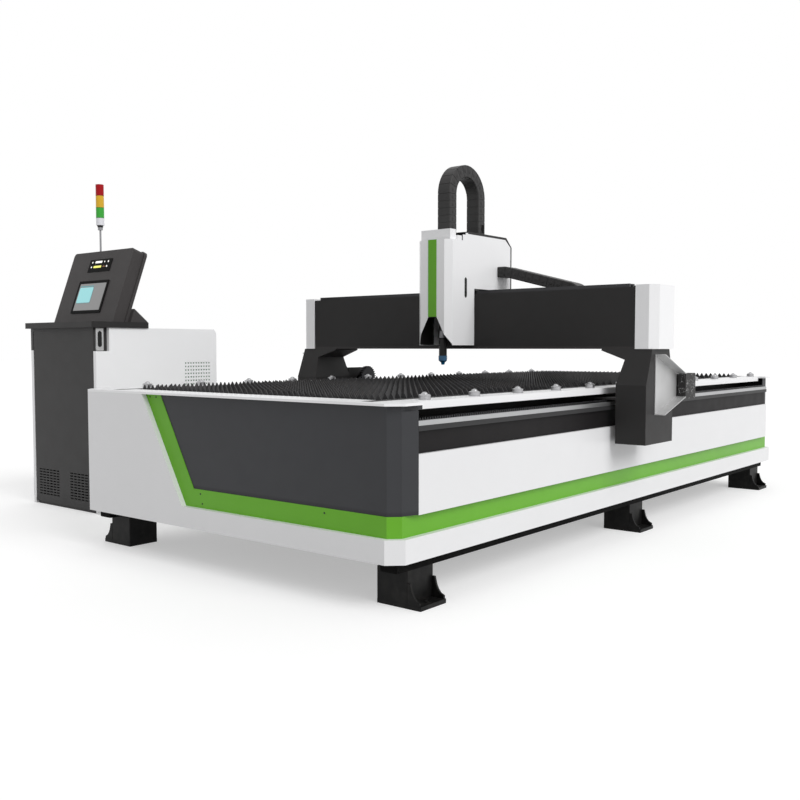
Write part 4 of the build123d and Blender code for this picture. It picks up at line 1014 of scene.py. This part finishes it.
field = Shape().prism(box_outline(0.281, 0.179, 0.003, 0.322, 0.171), 0.0031, 0.0036)
on_console(field, "display_field", display_grey)
window = Shape().prism(box_outline(0.146, 0.102, 0.006, 0.2635, 0.184), 0.0039, 0.0044)
on_console(window, "display_window", display_cyan)
bar = Shape().prism(box_outline(0.146, 0.007, 0.001, 0.2635, 0.2425), 0.0039, 0.0044)
bar.prism(box_outline(0.146, 0.002, 0.0008, 0.2635, 0.1305), 0.0039, 0.0044)
bar.prism(box_outline(0.002, 0.1, 0.0008, 0.3385, 0.1825), 0.0039, 0.0044)
on_console(bar, "display_window_edge", display_teal)


def lamp_set(name, finish, bars, dots):
    lamps = Shape()
    for x, y, width, height in bars:
        lamps.prism(box_outline(width, height, 0.002, x, y), 0.0028, 0.0036)
    for x, y, radius in dots:
        dome = [(0, 0.0025), (radius, 0.0025), (radius, 0.0032), (radius * 0.7, 0.0042),
                (0, 0.0046)]
        lamps.lathe(dome, 12, Matrix.Translation((x, y, 0)))
    return on_console(lamps, name, finish)


lamp_set(
    "white_indicators", lamp_white, [(0.308, 0.4055, 0.072, 0.014)],
    [(0.241, 0.4055, 0.0055), (0.371, 0.4055, 0.005), (0.41, 0.4055, 0.0065), (0.24, 0.3736, 0.006),
     (0.405, 0.3736, 0.0065)],
)
lamp_set("yellow_indicators", lamp_yellow, [(0.3055, 0.3736, 0.082, 0.014)], [])
lamp_set("orange_indicators", lamp_orange, [], [(0.369, 0.3736, 0.005), (0.385, 0.3736, 0.003)])

# %% Stand wings, hinge cover, lock and tower collar
back_y = -1.3349
profile = [(back_y, 1.135), (-1.212, 1.135), (-1.212, 1.1385), (back_y + 0.0292, 1.216)]
wings = Shape().prism(profile, -2.412, -2.25, UPRIGHT).prism(profile, -1.86, -1.698, UPRIGHT)
settle(wings.made("console_stand_wings", console_coat), "bed", "console_paint")
hinge = Shape().prism(box_outline(0.0085, 0.09, 0.003, -2.4143, -1.529), 0.046, 0.155)
settle(hinge.made("hinge_cover", bright_coat), "bed", "white_paint")
place = facing(-1.715, -1.5365, 1.0325, "+X")
lock = Shape().prism(box_outline(0.096, 0.026, 0.011), -0.002, 0.0006, place)
lock.prism(box_outline(0.012, 0.012, 0.003, -0.03, 0.0), 0.0006, 0.0012, place)
settle(lock.made("lock_recess", soft_black), "bed", "black_plastic")
collar = Shape().lathe(
    [(0, 1.744), (0.0158, 1.744), (0.0172, 1.7455), (0.0172, 1.75), (0.0195, 1.7535),
     (0.0195, 1.7568), (0, 1.7568)], 20, Matrix.Translation((-2.14, -1.24, 0)),
)
settle(collar.made("tower_collar", soft_black), "bed", "black_plastic")
lens_ring = Shape().lathe(
    [(0, -0.001), (0.0252, -0.001), (0.0256, -0.0004), (0.0256, 0.0004), (0.0252, 0.001),
     (0, 0.001)], 24,
)
rings = copies("lens_joint_rings", lens_ring, soft_black, 3, (-2.14, -1.24, 1.803), (0, 0, 0.07))
for point in rings.data.vertices:
    if 1.85 < point.co.z < 1.9:
        point.co.z -= 0.005
settle(rings, "bed", "black_plastic")

# %% [markdown]
# Small things on the carriage: the dark slot in its right cheek, the block that closes its front
# top corner, the clamp that holds the torch, and a flat black plate near the lifting chain's end,
# painted shade that stands for a square hole. Each sits on the body that carries it and is cut
# with real edges, so that it catches light as a part.

# %% Carriage fittings
place = facing(0.137, -0.4505, 1.3125, "+X")
slot = Shape().prism(box_outline(0.112, 0.022, 0.009), -0.003, 0.0006, place)
slot.prism(box_outline(0.098, 0.012, 0.005), 0.0006, 0.0009, place)
settle(slot.made("cheek_slot", soft_black), "carriage", "black_plastic")
corner = Shape().prism(box_outline(0.05, 0.039, 0.004, 0.1115, -0.504), 1.5682, 1.5925)
settle(corner.made("corner_block", bright_coat), "carriage", "white_paint")
clamp_ring = Shape().lathe(
    [(0, 1.032), (0.0215, 1.032), (0.0275, 1.036), (0.0275, 1.072), (0.0255, 1.076),
     (0.0215, 1.078), (0, 1.078)], 20, Matrix.Translation((0.024, -0.507, 0)),
)
settle(clamp_ring.made("torch_clamp", screw_steel), "torch", "steel")
# Painted shade: a flat black plate in place of the dark inside of a square hole.
place = facing(0.066, -0.182, 1.6635, "+X")
hole_shade = Shape().prism(box_outline(0.046, 0.022, 0.002), -0.002, 0.002, place)
settle(hole_shade.made("chain_end_plate", glass_black), "carriage", "black_plastic")

# %% Carriage liner and rim trim
liner = Shape().prism(box_outline(0.0009, 0.125, 0.0, -0.0852, -0.5095), 0.997, 1.15)
settle(liner.made("cheek_liner", dark_coat), "carriage", "dark_paint")
trim = Shape()
outer_edge = [(-0.43, 1.612), (-0.049, 1.612), (0.01, 1.568), (0.01, 1.312)]
inner_edge = [(-0.43, 1.607), (-0.0505, 1.607), (0.0055, 1.5665), (0.0055, 1.312)]
for k in range(3):
    piece = outer_edge[k:k + 2] + inner_edge[k:k + 2][::-1]
    trim.prism(piece, 0.1366, 0.1372, UPRIGHT)
settle(trim.made("cheek_rim_trim", dark_coat), "carriage", "dark_paint")

# %% [markdown]
# Each foot is a thick base plate, a square post as wide as the plate and two low webs in front of
# it, swept down in a curve to the plate's edge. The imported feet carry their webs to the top, so
# these stand in for them with the photograph's lower webs. Caps close the ends of the long tubes.

# %% Feet and tube caps
web = [(0.0, 0.0165), (0.0, 0.098), (0.013, 0.098), (0.016, 0.084), (0.021, 0.066), (0.029, 0.05),
       (0.04, 0.037), (0.057, 0.029), (0.057, 0.0165)]
foot = Shape().prism(box_outline(0.2138, 0.162, 0.002, 0.906), 0.0, 0.017)
foot.prism(box_outline(0.1505, 0.162, 0.003, 0.87425), 0.0165, 0.1439)
for y in (-0.076, 0.076):
    stand_up = Matrix(((1, 0, 0, 0.9495), (0, 0, 1, y), (0, 1, 0, 0), (0, 0, 0, 1)))
    foot.prism(web, -0.005, 0.005, stand_up)
foot.lathe(
    [(0, 0.0168), (0.014, 0.0168), (0.014, 0.0188), (0.0125, 0.0196), (0.0095, 0.0196),
     (0.009, 0.0172), (0, 0.0172)], 20, Matrix.Translation((0.984, 0, 0)),
)
left_foot = Shape().add([(-p.x, p.y, p.z) for p in foot.points], foot.faces)
FOOT_SPACING = 1.907
sides = [
    copies(name, shape, foot_coat, 3, (0, -FOOT_SPACING, 0), (0, FOOT_SPACING, 0))
    for name, shape in (("right_feet", foot), ("left_feet", left_foot))
]
feet = joined_as("footed_posts", *sides)
settle(feet, "bed", "dark_paint", "feet")
caps = Shape()
for side in (-1, 1):
    for end, axis in ((-1, "-Y"), (1, "+Y")):
        place = facing(side * 0.91, end * 2.05, 0.184, axis)
        caps.prism(box_outline(0.0796, 0.0796, 0.004), -0.003, 0.0012, place)
settle(caps.made("tube_end_caps", frame_coat), "bed", "dark_paint")

# %% [markdown]
# The bed's corners: the end covers stand back from the side panels, and a folded sheet with a
# wedge-shaped section closes the step between them at the front corners, up to the flange, and a
# narrow one at the rear. A pale flat bar lies along the outer edge of each dark ledge. Screws hold
# the green bands and the end flanges. A screw is a turned head with a socket, which is a profile
# that dips at its middle.

# %% Corner sheets and screws
strip = Shape()
for side in (-1, 1):
    wedge = [(side * 0.9716, -2.0512), (side * 0.9996, -1.984), (side * 0.9716, -1.984)]
    strip.prism(wedge, 0.3622, 0.7484)
    strip.prism(box_outline(0.0014, 0.032, 0.0, side * 0.9712, -1.967), 0.713, 0.7688)
    strip.prism(box_outline(0.001, 0.0555, 0.0, side * 0.9508, -1.9263), 0.7495, 0.7688)
    strip.prism(box_outline(0.0265, 0.0012, 0.0, side * 0.98575, 1.98375), 0.362, 0.587)
settle(strip.made("corner_closing_sheets", cover_coat), "bed", "grey_paint")
bars = Shape()
for side in (-1, 1):
    bars.prism(box_outline(0.0152, 3.965, 0.0015, side * 0.9919, 0.0), 0.6928, 0.7112)
settle(bars.made("ledge_edge_bars", ledge_metal), "bed", "steel")


def screw(radius, height):
    """A socket head that points along Z."""
    return [
        (0, -0.001), (radius, -0.001), (radius, height * 0.8), (radius * 0.88, height),
        (radius * 0.55, height), (radius * 0.5, height * 0.45), (0, height * 0.4),
    ]


heads = Shape()
on_band = [(-0.1266, 0.3414), (-0.1141, 0.2995), (0.62, 0.3414)]
on_flange = [(-0.434, 0.7562), (-0.478, 0.7562)]
for x, z in on_band + on_flange:
    for end, axis in ((-1, "-Y"), (1, "+Y")):
        heads.lathe(screw(0.0042, 0.0012), 12, facing(-end * x, end * 2.0898, z, axis))
settle(heads.made("band_screws", soft_black), "bed", "black_plastic")

# %% [markdown]
# A white studio: a pale floor, a soft key from the right and above, and a world that fills evenly.
# The background is white only for the camera, for reflections and for glass. What lights the
# machine is a plain grey, so a colour renders about as it is written.


# %% Floor, world and key light
floor_mesh = bpy.data.meshes.new("floor")
floor_mesh.from_pydata([(x, y, 0) for x, y in box_outline(120, 120)], [], [[0, 1, 2, 3]])
floor = in_scene("floor", floor_mesh)
WHITE = (1, 1, 1, 1)
pale = Finish("pale_floor", Base_Color=(0.66, 0.66, 0.66), Roughness=0.9)
lit = Wire(pale, pale.shader.outputs[0])
rays = pale.node("ShaderNodeLightPath")
seen = rays.larger(rays.beside("Is Glossy Ray"))
glow = pale.node("ShaderNodeEmission", None, {"Color": WHITE, "Strength": 0.42})
both = pale.node("ShaderNodeAddShader", None, {0: lit, 1: glow})
choice = pale.node("ShaderNodeMixShader", None, {0: seen, 1: lit, 2: both})
pale.join(pale.tree.nodes["Material Output"].inputs["Surface"], choice)
floor_mesh.materials.append(pale.material)

world = bpy.data.worlds.new("studio")
bpy.context.scene.world = world
world.use_nodes = True
world.node_tree.nodes.clear()
sky = Tree(world.node_tree)
rays = sky.node("ShaderNodeLightPath")
seen = rays.larger(rays.beside("Is Glossy Ray")).larger(rays.beside("Is Transmission Ray"))
fill = sky.node("ShaderNodeBackground", None, {"Color": WHITE, "Strength": 0.6})
backdrop = sky.node("ShaderNodeBackground", None, {"Color": WHITE, "Strength": 1.0})
choice = sky.node("ShaderNodeMixShader", None, {0: seen, 1: fill, 2: backdrop})
sky.join(sky.tree.nodes.new("ShaderNodeOutputWorld").inputs["Surface"], choice)


def soft_sun(name, towards, strength, width):
    """A far soft lamp that shines from the given direction."""
    lamp = bpy.data.lights.new(name, "SUN")
    lamp.energy = strength
    lamp.angle = math.radians(width)
    in_scene(name, lamp).rotation_euler = Vector(towards).to_track_quat("Z", "Y").to_euler()


soft_sun("key", (0.8, -0.06, 0.6), 1.62, 38)
print("studio lit")

# %% [markdown]
# The camera is where the photograph was taken from: low, near the right front corner of the bed,
# with a slightly long lens.

# %% Camera
eye = bpy.data.cameras.new("camera")
eye.lens = 41.94
eye.sensor_width = 36.0
eye.clip_end = 200.0
camera = in_scene("camera", eye)
camera.location = (3.0992, -4.6915, 0.981)
camera.rotation_euler = (math.radians(86.792), 0.0, math.radians(38.945))
bpy.context.scene.camera = camera
bpy.context.scene.view_settings.view_transform = "Standard"
